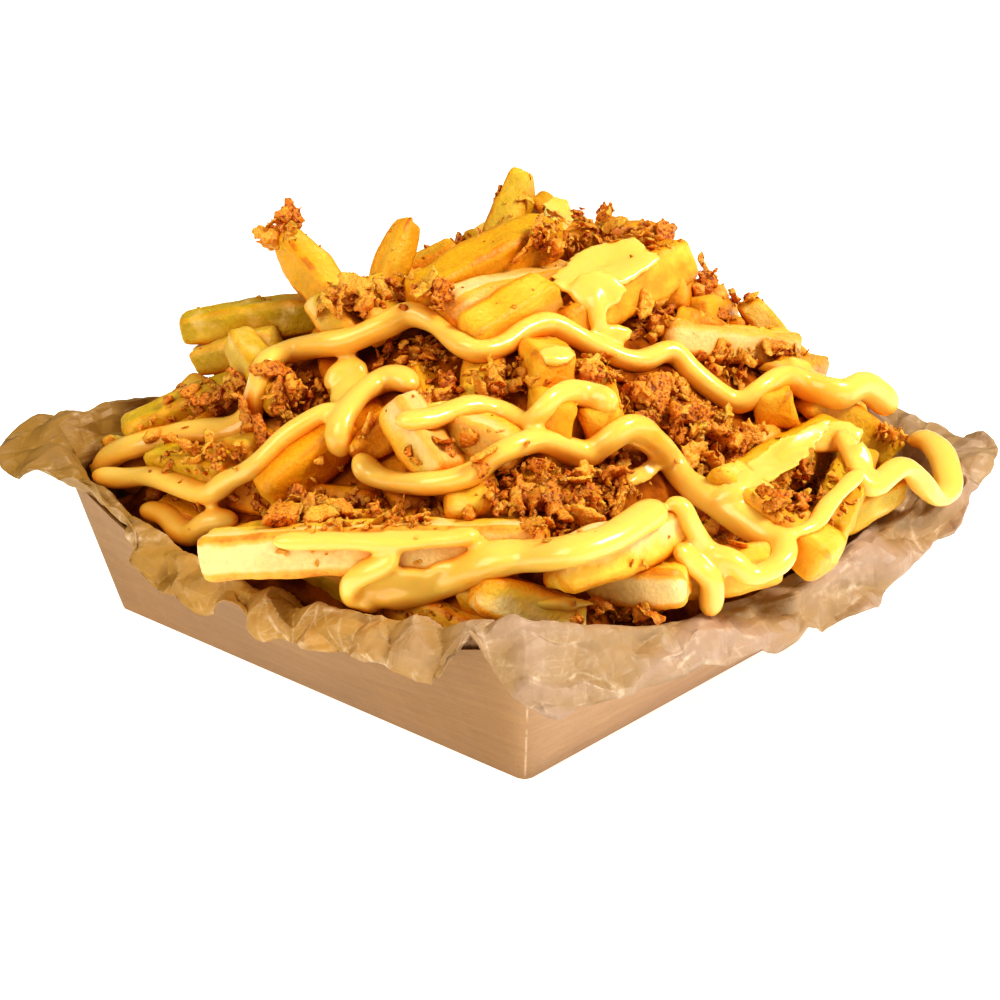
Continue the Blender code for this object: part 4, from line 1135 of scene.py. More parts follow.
def potato_material():
    """Fried potato: cream to golden, with crisp edges and ends and a thin film of oil."""
    look = settings("fries")
    material, tree = new_material("fried potato")
    names = ("tone", "olive", "crisp", "edge", "end", "shift")
    tone, oily, crisp, edge, end, shift = (read_attribute(tree, name) for name in names)
    patches, specks = mottle(tree, 0.006, 0.0011, shift)
    wander = scaled(tree, patches, 0.7, -0.35)
    turn = times(tree, shift, math.tau)
    facing = joined_vector(tree, math_node(tree, "COSINE", turn), math_node(tree, "SINE", turn))
    side = read_attribute(tree, "side", "Vector")
    browner = ramp_node(tree, vector_node(tree, "DOT_PRODUCT", side, facing), -0.9, 0.9)
    fried = plus(tree, tone, scaled(tree, browner, 0.5, -0.08))
    fried = plus(tree, fried, wander, clamp=True)
    colour = mix_colour(tree, ramp_node(tree, fried, 0.1, 0.45), look.cream, look.yellow)
    colour = mix_colour(tree, ramp_node(tree, fried, 0.4, 1.0), colour, look.golden)
    oily = times(tree, oily, ramp_node(tree, patches, 0.15, 0.55), clamp=True)
    colour = mix_colour(tree, oily, colour, look.olive)
    rim = math_node(tree, "MAXIMUM", edge, times(tree, end, 0.6))
    worn = scaled(tree, patches, 0.8, times(tree, specks, 0.5))
    rim = plus(tree, rim, math_node(tree, "SUBTRACT", worn, 0.65))
    less_oily = scaled(tree, oily, -0.8, 0.95)
    golden_rim = times(tree, ramp_node(tree, rim, 0.35, 0.9), less_oily)
    colour = mix_colour(tree, golden_rim, colour, look.golden)
    ragged = ramp_node(tree, scaled(tree, specks, 0.5, patches), 0.62, 0.95)
    crisper = times(tree, crisp, 1.3)
    crusted = times(tree, ramp_node(tree, rim, 0.85, 1.15), crisper, clamp=True)
    browned = times(tree, ramp_node(tree, tone, 0.72, 1.0), ragged)
    colour = mix_colour(tree, math_node(tree, "MAXIMUM", crusted, browned), colour, look.crust)
    colour = tinted(tree, colour, scaled(tree, specks, 0.4, 0.8))
    # Painted shade in the crevices of the heap
    colour = painted_crevice_shade(tree, colour, POTATO_CREVICE_SHADE)
    fine = noise_node(tree, object_place(tree), 1800, 3, 0.6)
    rough = scaled(tree, specks, 0.5, 0.2)
    relief = plus(tree, specks, times(tree, fine, 0.5))
    set_shader(
        tree, Base_Color=colour, Roughness=rough, Specular_IOR_Level=0.35, Subsurface_Weight=0.4,
        Subsurface_Radius=(1.5, 0.8, 0.25), Subsurface_Scale=0.001,
        Normal=bump_normal(tree, relief, 0.0004, 0.8),
    )
    return material


def cheese_material():
    """Warm cheese sauce: smooth and glossy."""
    look = settings("sauce")
    material, tree = new_material("cheese sauce")
    place = object_place(tree)
    wide = noise_node(tree, place, 60, 2)
    colour = mix_colour(tree, ramp_node(tree, wide, 0.5, 0.95), look.cheese, look.deep_cheese)
    # Painted shade in the crevices of the heap
    colour = painted_crevice_shade(tree, colour, CHEESE_CREVICE_SHADE)
    ripple = noise_node(tree, place, 350, 2)
    set_shader(
        tree, Base_Color=colour, Roughness=0.24, Subsurface_Weight=0.8,
        Subsurface_Radius=(1.8, 0.9, 0.3), Subsurface_Scale=0.001, Coat_Weight=0.3, Coat_Roughness=0.06,
        Normal=bump_normal(tree, ripple, 0.0002, 0.35),
    )
    return material


def onion_material():
    """Crisp fried onion: thin, craggy and brown, darker at some edges."""
    look = settings("onion")
    material, tree = new_material("crisp onion")
    tone = read_attribute(tree, "tone")
    patches, specks = mottle(tree, 0.0035, 0.0008)
    craggy = scaled(tree, specks, -1.6, scaled(tree, patches, 1.2, 0.2))
    browned = plus(tree, tone, craggy, clamp=True)
    colour = mix_colour(tree, browned, look.pale, look.brown)
    dark = times(tree, ramp_node(tree, browned, 0.7, 1.0), ramp_node(tree, specks, 0.55, 0.3))
    colour = mix_colour(tree, dark, colour, look.dark)
    # Painted shade in the crevices of the heap
    colour = painted_crevice_shade(tree, colour, ONION_CREVICE_SHADE)
    set_shader(
        tree, Base_Color=colour, Roughness=0.35, Specular_IOR_Level=0.4, Subsurface_Weight=0.4,
        Subsurface_Radius=(2.5, 0.9, 0.2), Subsurface_Scale=0.001,
        Normal=bump_normal(tree, specks, 0.0009, 1.0),
    )
    return material


def gap_shade_material():
    """Painted shade: the dark colour of the gaps deep in the heap."""
    material, tree = new_material("deep gaps")
    patches, specks = mottle(tree, 0.005, 0.001)
    # Painted shade: two dark colours mottled over the body in the gaps
    colour = mix_colour(tree, ramp_node(tree, patches, 0.35, 0.7), DEEPEST_GAP_SHADE, LESS_DEEP_GAP_SHADE)
    set_shader(
        tree, Base_Color=colour, Roughness=0.6, Specular_IOR_Level=0.03,
        Normal=bump_normal(tree, specks, 0.0005, 0.8),
    )
    return material


def fold_lines(tree, creases, width):
    """Lines along the sharp folds, and their relief, from the places of the paper before it was creased."""
    size, *drawn = creases
    plan = fold_plan(*drawn)
    place = scaled_vector(tree, read_attribute(tree, "before", "Vector"), 1 / size)
    lines = 0.0
    height = 0.0
    for heading, offset, bend in plan:
        across = plus(tree, vector_node(tree, "DOT_PRODUCT", place, tuple(heading)), offset)
        wave = scaled(tree, math_node(tree, "PINGPONG", across, 0.5), 4.0, -1.0)
        steep = math_node(tree, "ABSOLUTE", wave)
        spread = {"Value": steep, "From Min": 1 - 4 * width / size, "From Max": 1.0}
        line = add_node(tree, "ShaderNodeMapRange", spread).outputs["Result"]
        lines = math_node(tree, "MAXIMUM", line, lines)
        height = plus(tree, wave, height)
        place = vector_node(tree, "ADD", place, scaled_vector(tree, tuple(bend), wave))
    return lines, math_node(tree, "DIVIDE", height, 2.0 * len(plan))


def paper_material():
    """Brown greaseproof paper: waxy, in flat facets, pale broken fibres along some creases, painted shade to
    the left.
    """
    look = settings("paper")
    material, tree = new_material("greaseproof paper")
    place = object_place(tree)
    wide = noise_node(tree, place, 55, 2)
    coarse, facets = fold_lines(tree, FACETS, 0.0005)
    fine, creased = fold_lines(tree, WRINKLES, 0.0003)
    oiled = mix_colour(tree, ramp_node(tree, facets, -0.15, 0.2), look.oiled, look.tan)
    # Towards the left the paper turns deeper yellow-brown, partly oil in it and partly painted shade
    leftwards = vector_node(tree, "DOT_PRODUCT", place, tuple(-ACROSS))
    soaked_and_shaded = times(tree, ramp_node(tree, leftwards, -0.01, 0.05), 0.75)
    oiled = mix_colour(tree, soaked_and_shaded, oiled, look.soaked_and_shaded)
    # Painted shade: the far left of the paper is darker
    far_left_painted_shade = scaled(tree, ramp_node(tree, leftwards, 0.06, 0.095), -0.28, 1.0)
    oiled = tinted(tree, oiled, far_left_painted_shade)
    worn = ramp_node(tree, noise_node(tree, place, 85, 3, 0.6), 0.46, 0.64)
    lines = math_node(tree, "MAXIMUM", coarse, times(tree, fine, 0.35))
    lines = times(tree, lines, worn)
    cloud = noise_node(tree, place, 420, 4, 0.7)
    lines = times(tree, lines, ramp_node(tree, cloud, 0.3, 0.65))
    colour = mix_colour(tree, times(tree, lines, 0.55), oiled, look.pale)
    colour = tinted(tree, colour, scaled(tree, cloud, 0.3, 0.85))
    rough = scaled(tree, wide, 0.3, 0.34)
    normal = bump_normal(tree, facets, 0.0035, 0.8)
    normal = bump_normal(tree, creased, 0.0012, 0.8, normal)
    normal = bump_normal(tree, cloud, 0.0001, 0.4, normal)
    set_shader(tree, Base_Color=colour, Roughness=rough, Specular_IOR_Level=0.32, Normal=normal)
    return material


def board_material():
    """Kraft board with fibres and dark specks; painted shade on its left side; worn corner creases with a
    painted highlight.
    """
    look = settings("tray")
    material, tree = new_material("kraft board")
    place = object_place(tree)
    fibres = noise_node(tree, vector_node(tree, "MULTIPLY", place, (1.0, 1.0, 5.0)), 900, 5, 0.75, 1.5)
    wide = noise_node(tree, place, 45, 3)
    colour = mix_colour(tree, ramp_node(tree, fibres, 0.35, 0.75), look.board, look.fibre)
    fibrous = times(tree, ramp_node(tree, fibres, 0.3, 0.6), 0.55)
    colour = mix_colour(tree, fibrous, look.board, colour)
    colour = tinted(tree, colour, scaled(tree, wide, 0.25, 0.88))
    leftwards = vector_node(tree, "DOT_PRODUCT", place, tuple(-ACROSS))
    # Painted shade: the board's left side darker
    colour = mix_colour(tree, ramp_node(tree, leftwards, -0.008, 0.004), colour, SHADED_BOARD, "MULTIPLY")
    axes = add_node(tree, "ShaderNodeSeparateXYZ", {0: vector_node(tree, "ABSOLUTE", place)}).outputs
    spread = times(tree, axes["Z"], FLARE / RIM_CORNER)
    from_x = math_node(tree, "SUBTRACT", plus(tree, spread, BASE_X / 2), axes["X"])
    from_y = math_node(tree, "SUBTRACT", plus(tree, spread, BASE_Y / 2), axes["Y"])
    # Pale broken line along the corner creases: worn board, and a painted highlight on the folds
    crease_wear_and_highlight = ramp_node(tree, math_node(tree, "MAXIMUM", from_x, from_y), 0.00095, 0.0006)
    broken = ramp_node(tree, noise_node(tree, place, 260, 3, 0.7), 0.35, 0.6)
    crease_wear_and_highlight = times(tree, crease_wear_and_highlight, times(tree, broken, 0.45))
    colour = mix_colour(tree, crease_wear_and_highlight, colour, look.worn)
    streaks = noise_node(tree, vector_node(tree, "MULTIPLY", place, (60.0, 60.0, 900.0)), 1.0, 4, 0.7)
    colour = tinted(tree, colour, scaled(tree, streaks, 0.5, 0.75))
    speck = ramp_node(tree, noise_node(tree, place, 1400, 1), 0.76, 0.8)
    colour = mix_colour(tree, times(tree, speck, 0.6), colour, BOARD_SPECK)
    set_shader(tree, Base_Color=colour, Roughness=0.62, Normal=bump_normal(tree, fibres, 0.00015, 0.5))
    return material


def finished_mesh(name, bm):
    """A mesh made from a bmesh, which is freed."""
    mesh = bpy.data.meshes.new(name)
    bm.to_mesh(mesh)
    bm.free()
    return mesh


def new_object(name, data):
    """A new object in the scene."""
    obj = bpy.data.objects.new(name, data)
    bpy.context.scene.collection.objects.link(obj)
    return obj


def store(mesh, name, kind, values):
    """Stores a value of a kind for each point of a mesh, with the numbers of vectors one after another."""
    field = "vector" if kind == "FLOAT_VECTOR" else "value"
    mesh.attributes.new(name, kind, "POINT").data.foreach_set(field, values)


def fused(obj, voxel):
    """Gives an object a modifier that fuses all its bodies into one surface."""
    fuse = obj.modifiers.new("fuse", "REMESH")
    fuse.mode = "VOXEL"
    fuse.voxel_size = voxel
    return fuse


def from_modifiers(obj):
    """Makes an object's modifiers final in its mesh."""
    graph = bpy.context.evaluated_depsgraph_get()
    mesh = bpy.data.meshes.new_from_object(obj.evaluated_get(graph))
    mesh.name = obj.name
    obj.modifiers.clear()
    obj.data = mesh


def claim(obj, node=None):
    """Ties a finished piece to the frame: its body and the solid it stands for."""
    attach(obj, BODY)
    if node:
        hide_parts(node)


def fry_chain(fry, look, spacing, draw):
    """Stations along one slightly bent fry, each as a row of the numbers that the fry tree reads."""
    a, b, width, roll = fry
    length = (b - a).length
    half = width / 2
    turned, lifted = fry_axes(a, b, roll)
    along = (b - a).normalized()
    angle = draw.uniform(0, math.tau)
    bow = (turned * math.cos(angle) + lifted * math.sin(angle)) * settings("fries").bow * draw.uniform(0.2, 1)
    bow *= min(1, (length / (60 * MM)) ** 2)
    tapers = [look[3] * draw.uniform(0.75, 1), look[3] * draw.uniform(0.75, 1)]
    leans = []
    for _ in range(2):
        angle = draw.uniform(0, math.tau)
        leans.append((turned * math.cos(angle) + lifted * math.sin(angle), draw.uniform(*END_SLANT)))
    waist = draw.uniform(0, 100)
    shift = draw.uniform(0, 1)
    places = [(share * half, size) for share, size in END_SHAPE]
    inner = END_SHAPE[-1][0] * half
    count = max(3, round((length - 2 * inner) / spacing))
    middle = [(inner + (length - 2 * inner) * k / count, 1.0) for k in range(1, count)]
    stations = places + middle + [(length - at, size) for at, size in reversed(places)]
    chain = []
    for at, size in stations:
        share = at / length
        thin = 1 + WAIST * noise.noise(Vector((at / WAIST_LENGTH, waist, 0)))
        for taper, off in zip(tapers, (at, length - at)):
            thin *= 1 - 0.6 * taper * max(0, 1 - off / TAPER_LENGTH) ** 1.5
        nearer = share > 0.5
        off = min(at, length - at)
        lean, slope = leans[nearer]
        slant = along * slope * max(0, 1 - off / (2 * half))
        point = a.lerp(b, share) + bow * (1 - (2 * share - 1) ** 2)
        row = {"half": half * size * thin, "roll": -roll, "end": math.exp(-off / END_COLOUR_LENGTH)}
        row.update(tone=look[0], olive=look[1], crisp=look[2], shift=shift)
        row.update(middle=point, lean=lean, slant=slant)
        chain.append(row)
    return chain


def chains_object(name, fries, looks, spacing, seed):
    """An edge mesh with one chain for each fry, and the numbers that the fry tree and the material read."""
    draw = random.Random(seed)
    rows = []
    edges = []
    for fry, look in zip(fries, looks):
        chain = fry_chain(fry, look, spacing, draw)
        edges.extend((len(rows) + k, len(rows) + k + 1) for k in range(len(chain) - 1))
        rows.extend(chain)
    mesh = bpy.data.meshes.new(name)
    mesh.from_pydata([row["middle"] for row in rows], edges, [])
    for key, value in rows[0].items():
        if isinstance(value, Vector):
            store(mesh, key, "FLOAT_VECTOR", [number for row in rows for number in row[key]])
        else:
            store(mesh, key, "FLOAT", [row[key] for row in rows])
    return new_object(name, mesh)


def geometry_node(tree, kind, inputs=None, **choices):
    """The first output of a geometry node, whose kind is named without its common beginning."""
    return add_node(tree, "GeometryNode" + kind, inputs, **choices).outputs[0]


def stored(tree, name, kind="FLOAT"):
    """A stored value in a geometry tree."""
    return geometry_node(tree, "InputNamedAttribute", {"Name": name}, data_type=kind)


def geometry_tree(name, inputs):
    """An empty geometry tree with a geometry and some named values going in, as (tree, given, made)."""
    tree = bpy.data.node_groups.new(name, "GeometryNodeTree")
    tree.interface.new_socket("Geometry", in_out="INPUT", socket_type="NodeSocketGeometry")
    tree.interface.new_socket("Geometry", in_out="OUTPUT", socket_type="NodeSocketGeometry")
    for label, kind in inputs:
        tree.interface.new_socket(label, in_out="INPUT", socket_type="NodeSocket" + kind)
    return tree, tree.nodes.new("NodeGroupInput").outputs, tree.nodes.new("NodeGroupOutput").inputs


def finish_tree(tree, body, material, made, smooth=True):
    """Ends a geometry tree with a real mesh, smooth or faceted, in its material."""
    body = geometry_node(tree, "RealizeInstances", {"Geometry": body})
    body = geometry_node(tree, "SetShadeSmooth", {"Geometry": body, "Shade Smooth": smooth})
    body = geometry_node(tree, "SetMaterial", {"Geometry": body, "Material": material})
    tree.links.new(body, made["Geometry"])
    return tree


def run_tree(obj, tree, values):
    """Puts a geometry tree on an object with its inputs set, and makes the result final."""
    modifier = obj.modifiers.new(tree.name, "NODES")
    modifier.node_group = tree
    for item in tree.interface.items_tree:
        if item.item_type == "SOCKET" and item.in_out == "INPUT" and item.name in values:
            modifier[item.identifier] = values[item.name]
    from_modifiers(obj)


def fry_tree():
    """Geometry tree: a rounded square drawn along each chain, dented and blistered."""
    inputs = (("Section Points", "Int"), ("Corner", "Float"), ("Dents", "Float"), ("Blisters", "Float"),
              ("Material", "Material"))
    tree, given, made = geometry_tree("fries from chains", inputs)
    here = geometry_node(tree, "InputPosition")
    curve = geometry_node(tree, "MeshToCurve", {"Mesh": given["Geometry"]})
    curve = geometry_node(tree, "SetCurveNormal", {"Curve": curve}, mode="Z_UP")
    curve = geometry_node(tree, "SetCurveTilt", {"Curve": curve, "Tilt": stored(tree, "roll")})
    section = geometry_node(tree, "CurvePrimitiveQuadrilateral", {"Width": 2.0, "Height": 2.0})
    rounding = {"Curve": section, "Radius": given["Corner"], "Count": 3}
    section = geometry_node(tree, "FilletCurve", rounding, mode="POLY")
    section = geometry_node(tree, "ResampleCurve", {"Curve": section, "Count": given["Section Points"]})
    corner = vector_node(tree, "LENGTH", here)
    marked = {"Geometry": section, "Name": "edge", "Value": ramp_node(tree, corner, 1.04, 1.26)}
    section = geometry_node(tree, "StoreNamedAttribute", marked, data_type="FLOAT", domain="POINT")
    faced = {"Geometry": section, "Name": "side", "Value": here}
    section = geometry_node(tree, "StoreNamedAttribute", faced, data_type="FLOAT_VECTOR", domain="POINT")
    sunk = scaled(tree, ramp_node(tree, corner, 1.0, 1.15), FACE_SINK, -FACE_SINK)
    moved = {"Geometry": section, "Offset": scaled_vector(tree, here, sunk)}
    section = geometry_node(tree, "SetPosition", moved)
    drawn = {"Curve": curve, "Profile Curve": section, "Scale": stored(tree, "half"), "Fill Caps": True}
    body = geometry_node(tree, "CurveToMesh", drawn)
    off_middle = vector_node(tree, "SUBTRACT", here, stored(tree, "middle", "FLOAT_VECTOR"))
    reach = vector_node(tree, "DOT_PRODUCT", off_middle, stored(tree, "lean", "FLOAT_VECTOR"))
    slanted = scaled_vector(tree, stored(tree, "slant", "FLOAT_VECTOR"), reach)
    body = geometry_node(tree, "SetPosition", {"Geometry": body, "Offset": slanted})
    shift = stored(tree, "shift")
    place = vector_node(tree, "ADD", here, joined_vector(tree, shift, shift))
    rise = 0.0
    for height, scale, detail in (("Dents", 110, 2), ("Blisters", 620, 3)):
        relief = math_node(tree, "SUBTRACT", noise_node(tree, place, scale, detail), 0.5)
        doubled = times(tree, given[height], 2.0)
        rise = scaled(tree, relief, doubled, rise)
    offset = scaled_vector(tree, geometry_node(tree, "InputNormal"), rise)
    body = geometry_node(tree, "SetPosition", {"Geometry": body, "Offset": offset})
    return finish_tree(tree, body, given["Material"], made)


def gap_fries(fries, count):
    """Small fries deeper in the heap, in the widest gaps between the others."""
    draw = random.Random(GAP_SEED)
    ends = np.array([(a, b) for a, b, *_ in fries])
    reaches = np.array([width / 2 for _, _, width, _ in fries])
    made = []
    for _ in range(count):
        reach = draw.uniform(*GAP_WIDTHS) / 2
        best, least = None, None
        for _ in range(GAP_TRIALS):
            trial = trial_fry(draw, reach)
            middle = trial.mean(0)
            middle[2] = mound_height(middle[0], middle[1]) - draw.uniform(*GAP_DEPTH)
            half = draw.uniform(*GAP_LENGTHS) / 2
            along = trial[1] - trial[0]
            along *= half / np.linalg.norm(along)
            trial = np.array((middle - along, middle + along))[None]
            if middle @ np.array(AWAY) < GAP_NEAREST:
                continue
            keep_in_paper(trial, np.array([reach]))
            _, _, gap = closest(trial[:, 0], trial[:, 1], ends[:, 0], ends[:, 1])
            deep = np.maximum(reach + reaches - np.linalg.norm(gap, axis=1), 0)
            crowd = float((deep**2).sum())
            if least is None or crowd < least:
                best, least = trial[0], crowd
        if best is None:
            continue
        ends = np.concatenate((ends, best[None]))
        reaches = np.append(reaches, reach)
        made.append((Vector(best[0]), Vector(best[1]), 2 * reach, draw.uniform(-FRY_ROLL, FRY_ROLL)))
    return made


def drawn_looks(count, seed):
    """Looks for fries that the lists don't name."""
    draw = random.Random(seed)
    looks = []
    for _ in range(count):
        tone = draw.choice((0.3, 0.45, 0.6, 0.7, 0.8, 0.9)) + draw.uniform(-0.06, 0.06)
        olive, crisp = draw.uniform(0.1, 0.7), draw.uniform(0.25, 0.75)
        looks.append((tone, olive, crisp, draw.choice((0, 0.1, 0.2, 0.5))))
    return looks


class CHEESEFRIES_OT_fries(bpy.types.Operator):
    """Makes every fry of the heap, where its solid lies"""

    bl_idname = "cheesefries.fries"
    bl_label = "Fries"

    def execute(self, context):
        look = settings("fries")
        paper = tree_of(add_plain_paper)
        fries = settle_in_paper(lay_fries(), paper)
        shown, filling = fries[: len(SHOWN_FRIES)], fries[len(SHOWN_FRIES) :]
        small = settle_in_paper(gap_fries(fries, look.gap_fries), paper)
        tree = fry_tree()
        values = {"Corner": look.corner, "Dents": look.dents, "Blisters": look.blisters}
        values["Material"] = potato_material()
        groups = (
            ("fries_shown", shown, SHOWN_LOOKS, look.spacing, look.section_points),
            ("fries_filling", filling, drawn_looks(len(filling), FILL_LOOK_SEED), look.spacing * 1.2, 20),
            ("fries_in_gaps", small, drawn_looks(len(small), FILL_LOOK_SEED + 1), look.spacing * 1.4, 16),
        )
        for k, (name, some, looks, spacing, around) in enumerate(groups):
            obj = chains_object(name, some, looks, spacing, FILL_LOOK_SEED + 10 + k)
            run_tree(obj, tree, {**values, "Section Points": around})
            claim(obj, "cheese_fries" if k == 0 else None)
            laid["pieces"].append(obj)
        return {"FINISHED"}


class CHEESEFRIES_OT_depth(bpy.types.Operator):
    """Makes the body that shows through the gaps between the fries, dark with painted shade"""

    bl_idname = "cheesefries.depth"
    bl_label = "Deep gaps"

    def execute(self, context):
        bm = bmesh.new()
        rings = [points_of(wall_ring(height, CORE_INSET, DEPTH_PER_SIDE, 1)) for height in CORE_LEVELS]
        for point in rings[0]:
            point.z = CORE_INSET
        rim = rings[-1]
        for k in range(1, DEPTH_SHARES):
            share = 1 - k / DEPTH_SHARES
            ring = []
            for point in rim:
                x, y = point.x * share, point.y * share
                z = max(point.z, mound_height(x, y) - CORE_SINK)
                bump = noise.noise(Vector((x, y, z)) / DEPTH_BUMP_SIZE) * DEPTH_RELIEF
                ring.append(Vector((x, y, z + bump)))
            rings.append(ring)
        capped_skin(bm, rings)
        bmesh.ops.recalc_face_normals(bm, faces=bm.faces)
        mesh = finished_mesh("deep_gaps", bm)
        mesh.materials.append(gap_shade_material())
        mesh.shade_smooth()
        obj = new_object("deep_gaps", mesh)
        claim(obj)
        laid["pieces"].append(obj)
        return {"FINISHED"}


def fold_plan(count, seed, upright):
    """Drawn folds of creased paper as (direction across the fold, offset, how it bends the next ones)."""
    draw = random.Random(seed)
    plan = []
    for _ in range(count):
        heading = Vector([draw.gauss(0, 1) for _ in range(3)])
        if upright:
            heading.z *= FOLD_SLOPE
        bend = Vector([draw.gauss(0, 1) for _ in range(3)]).normalized() * FOLD_BEND
        plan.append((heading.normalized(), draw.random(), bend))
    return plan


def folded(places, creases):
    """Relief of creased paper, from -1 to 1: sharp folds, each of them bent by the last."""
    size, *drawn = creases
    plan = fold_plan(*drawn)
    places = places / size
    total = np.zeros(len(places))
    for heading, offset, bend in plan:
        place = places @ np.array(heading) + offset
        wave = 4 * np.abs(place - np.floor(place + 0.5)) - 1
        total += wave
        places = places + wave[:, None] * np.array(bend)
    return total / len(plan)


def spline_rows(rings, rows):
    """Rings interpolated along each station, more smooth than straight: rows between every two of them."""
    padded = [2 * rings[0] - rings[1], *rings, 2 * rings[-1] - rings[-2]]
    fine = []
    for four in zip(padded, padded[1:], padded[2:], padded[3:]):
        for k in range(rows):
            straight = four[1] + (four[2] - four[1]) * (k / rows)
            fine.append(spline(*four, k / rows) * SMOOTHNESS + straight * (1 - SMOOTHNESS))
    fine.append(rings[-1])
    return np.array(fine)


def trimmed_rings(per_side, per_corner):
    """The paper's rings with the hem torn as it shows, and the near-right flap over the near-left one."""
    rings = np.array(paper_rings(per_side, per_corner))
    top = wall_ring(1, LINER_INSET, per_side, per_corner)
    places, hangs = zip(*HEM_TRIM)
    outwards = np.array([outward for _, outward, _ in top])
    turns = np.array([turn for *_, turn in top])
    hang = np.interp(turns, places, hangs) * MM
    crest = np.interp(turns, *zip(*CREST_TRIM)) * MM
    past = (turns - FLAP_START) % 1
    lapped = np.clip(past / FLAP_STEP, 0, 1) * np.clip(1 - past / FLAP_LENGTH, 0, 1)
    raised = np.clip(past / FLAP_STEP, 0, 1) * np.clip(1 - past / FLAP_RISE_LENGTH, 0, 1)
    for ring, (rising, fold_share, _, hanging, _) in zip(rings[len(WALL_LEVELS) :], PAPER_FOLD):
        ring[:, 2] += (FLAP_RISE * raised + crest) * rising - hanging * hang
        ring[:, :2] += outwards * (FLAP_OUT * fold_share * lapped)[:, None]
    return rings


def paper_grid():
    """The crumpled paper as a grid of points, rows from the floor to the hem by stations round the tray."""
    look = settings("paper")
    grid = spline_rows(trimmed_rings(look.per_side, look.per_corner), look.rows)
    count = len(grid)
    flat = grid.reshape(-1, 3)
    along_rows = np.gradient(grid, axis=0)
    along_ring = np.roll(grid, -1, axis=1) - np.roll(grid, 1, axis=1)
    outward = np.cross(along_ring, along_rows)
    outward /= np.maximum(np.linalg.norm(outward, axis=2), 1e-9)[:, :, None]
    row = np.arange(count) / look.rows
    over_rim, on_hem = (np.clip((row - first) / rows, 0, 1)[:, None] for first, rows in (RIM_ROWS, HEM_ROWS))
    shape = grid.shape[:2]
    pleats, facets, wrinkles = (folded(flat, kind).reshape(shape) for kind in (PLEATS, FACETS, WRINKLES))
    push = look.pleats * pleats * on_hem
    push += look.facets * facets * (FACETS_BELOW + (1 - FACETS_BELOW) * over_rim)
    push += look.wrinkles * wrinkles * (WRINKLES_BELOW + (1 - WRINKLES_BELOW) * over_rim)
    push += HEM_PUSH * (look.pleats + look.facets) * on_hem
    return grid - outward * push[:, :, None], grid


class CHEESEFRIES_OT_paper(bpy.types.Operator):
    """Makes the crumpled greaseproof sheet"""

    bl_idname = "cheesefries.paper"
    bl_label = "Paper"

    def execute(self, context):
        look = settings("paper")
        grid, smooth_grid = paper_grid()
        rows, around, _ = grid.shape
        points = [Vector(p) for p in grid.reshape(-1, 3)]
        points.append(Vector((0, 0, LINER_INSET)))
        before = [*smooth_grid.reshape(-1, 3).ravel(), 0, 0, LINER_INSET]
        faces = []
        for r in range(rows - 1):
            for k in range(around):
                n = (k + 1) % around
                faces.append((r * around + k, r * around + n, (r + 1) * around + n, (r + 1) * around + k))
        for k in range(around):
            faces.append((len(points) - 1, (k + 1) % around, k))
        mesh = bpy.data.meshes.new("paper_sheet")
        mesh.from_pydata(points, [], faces)
        mesh.materials.append(paper_material())
        mesh.shade_smooth()
        mesh.set_sharp_from_angle(angle=SHARPEST_FOLD)
        store(mesh, "before", "FLOAT_VECTOR", before)
        obj = new_object("paper_sheet", mesh)
        wall = obj.modifiers.new("thickness", "SOLIDIFY")
        wall.thickness = look.thickness
        wall.offset = 0
        from_modifiers(obj)
        claim(obj, "paper")
        laid["sheet"] = obj
        return {"FINISHED"}


def drape(rays, spacing, radius, surfaces):
    """Middle line of a run of sauce: each ray's first touch, bridging the hollows between fries."""
    reaches = []
    for start, heading in rays:
        touches = [surface.ray_cast(start, heading)[3] for surface in surfaces]
        reaches.append(min((t for t in touches if t), default=None))
    known = [(k, r) for k, r in enumerate(reaches) if r is not None]
    bridged = []
    for k in range(len(rays)):
        bridged.append(min(r + SAUCE_STEEPEST * spacing * abs(k - n) for n, r in known))
    blurs = round(2 * (settings("sauce").slack / spacing) ** 2)
    for _ in range(blurs):
        padded = [bridged[0], *bridged, bridged[-1]]
        bridged = [(a + 2 * b + c) / 4 for a, b, c in zip(padded, padded[1:], padded[2:])]
    return [start + heading * (r - SAUCE_LIFT * radius) for (start, heading), r in zip(rays, bridged)]


def far_waves(distance, length, swing, waves):
    """Places in plan, in mm, of a run of sauce that waves across the far side of the mound."""
    away = AWAY.to_2d()
    across = ACROSS.to_2d()
    count = int(waves * FAR_PLACES)
    places = []
    for k in range(count + 1):
        share = k / count
        bow = FAR_BOW * (2 * share - 1) ** 2
        uneven = 1 + FAR_UNEVENNESS * math.sin(FAR_BEAT * share + distance)
        wave = swing * uneven * math.sin(math.tau * waves * share)
        places.append(across * (share - 0.5) * length + away * (distance - bow + wave))
    return places


def sight_ray(across, up):
    """The ray from the eye through a place as seen, in mm."""
    on_plane = AIM + ACROSS * across * MM + UPWARD * up * MM
    return EYE, (on_plane - EYE).normalized()


def ray_down(x, y):
    """The ray that drops on the heap at a place in plan."""
    return Vector((x, y, 2 * MOUND_TOP)), Vector((0, 0, -1))


def sauce_runs(surfaces):
    """Every run of sauce as (middle line, radius)."""
    step = settings("sauce").step
    runs = []
    for radius, places in SHOWN_SAUCE:
        rays = [sight_ray(p.x, p.y) for p in smooth_route(places, step / MM)]
        runs.append((drape(rays, step, radius * MM, surfaces), radius * MM))
    for radius, *wave in FAR_SAUCE:
        rays = []
        for place in smooth_route(far_waves(*wave), step / MM):
            rays.append(ray_down(place.x * MM, place.y * MM))
        runs.append((drape(rays, step, radius * MM, surfaces), radius * MM))
    return runs


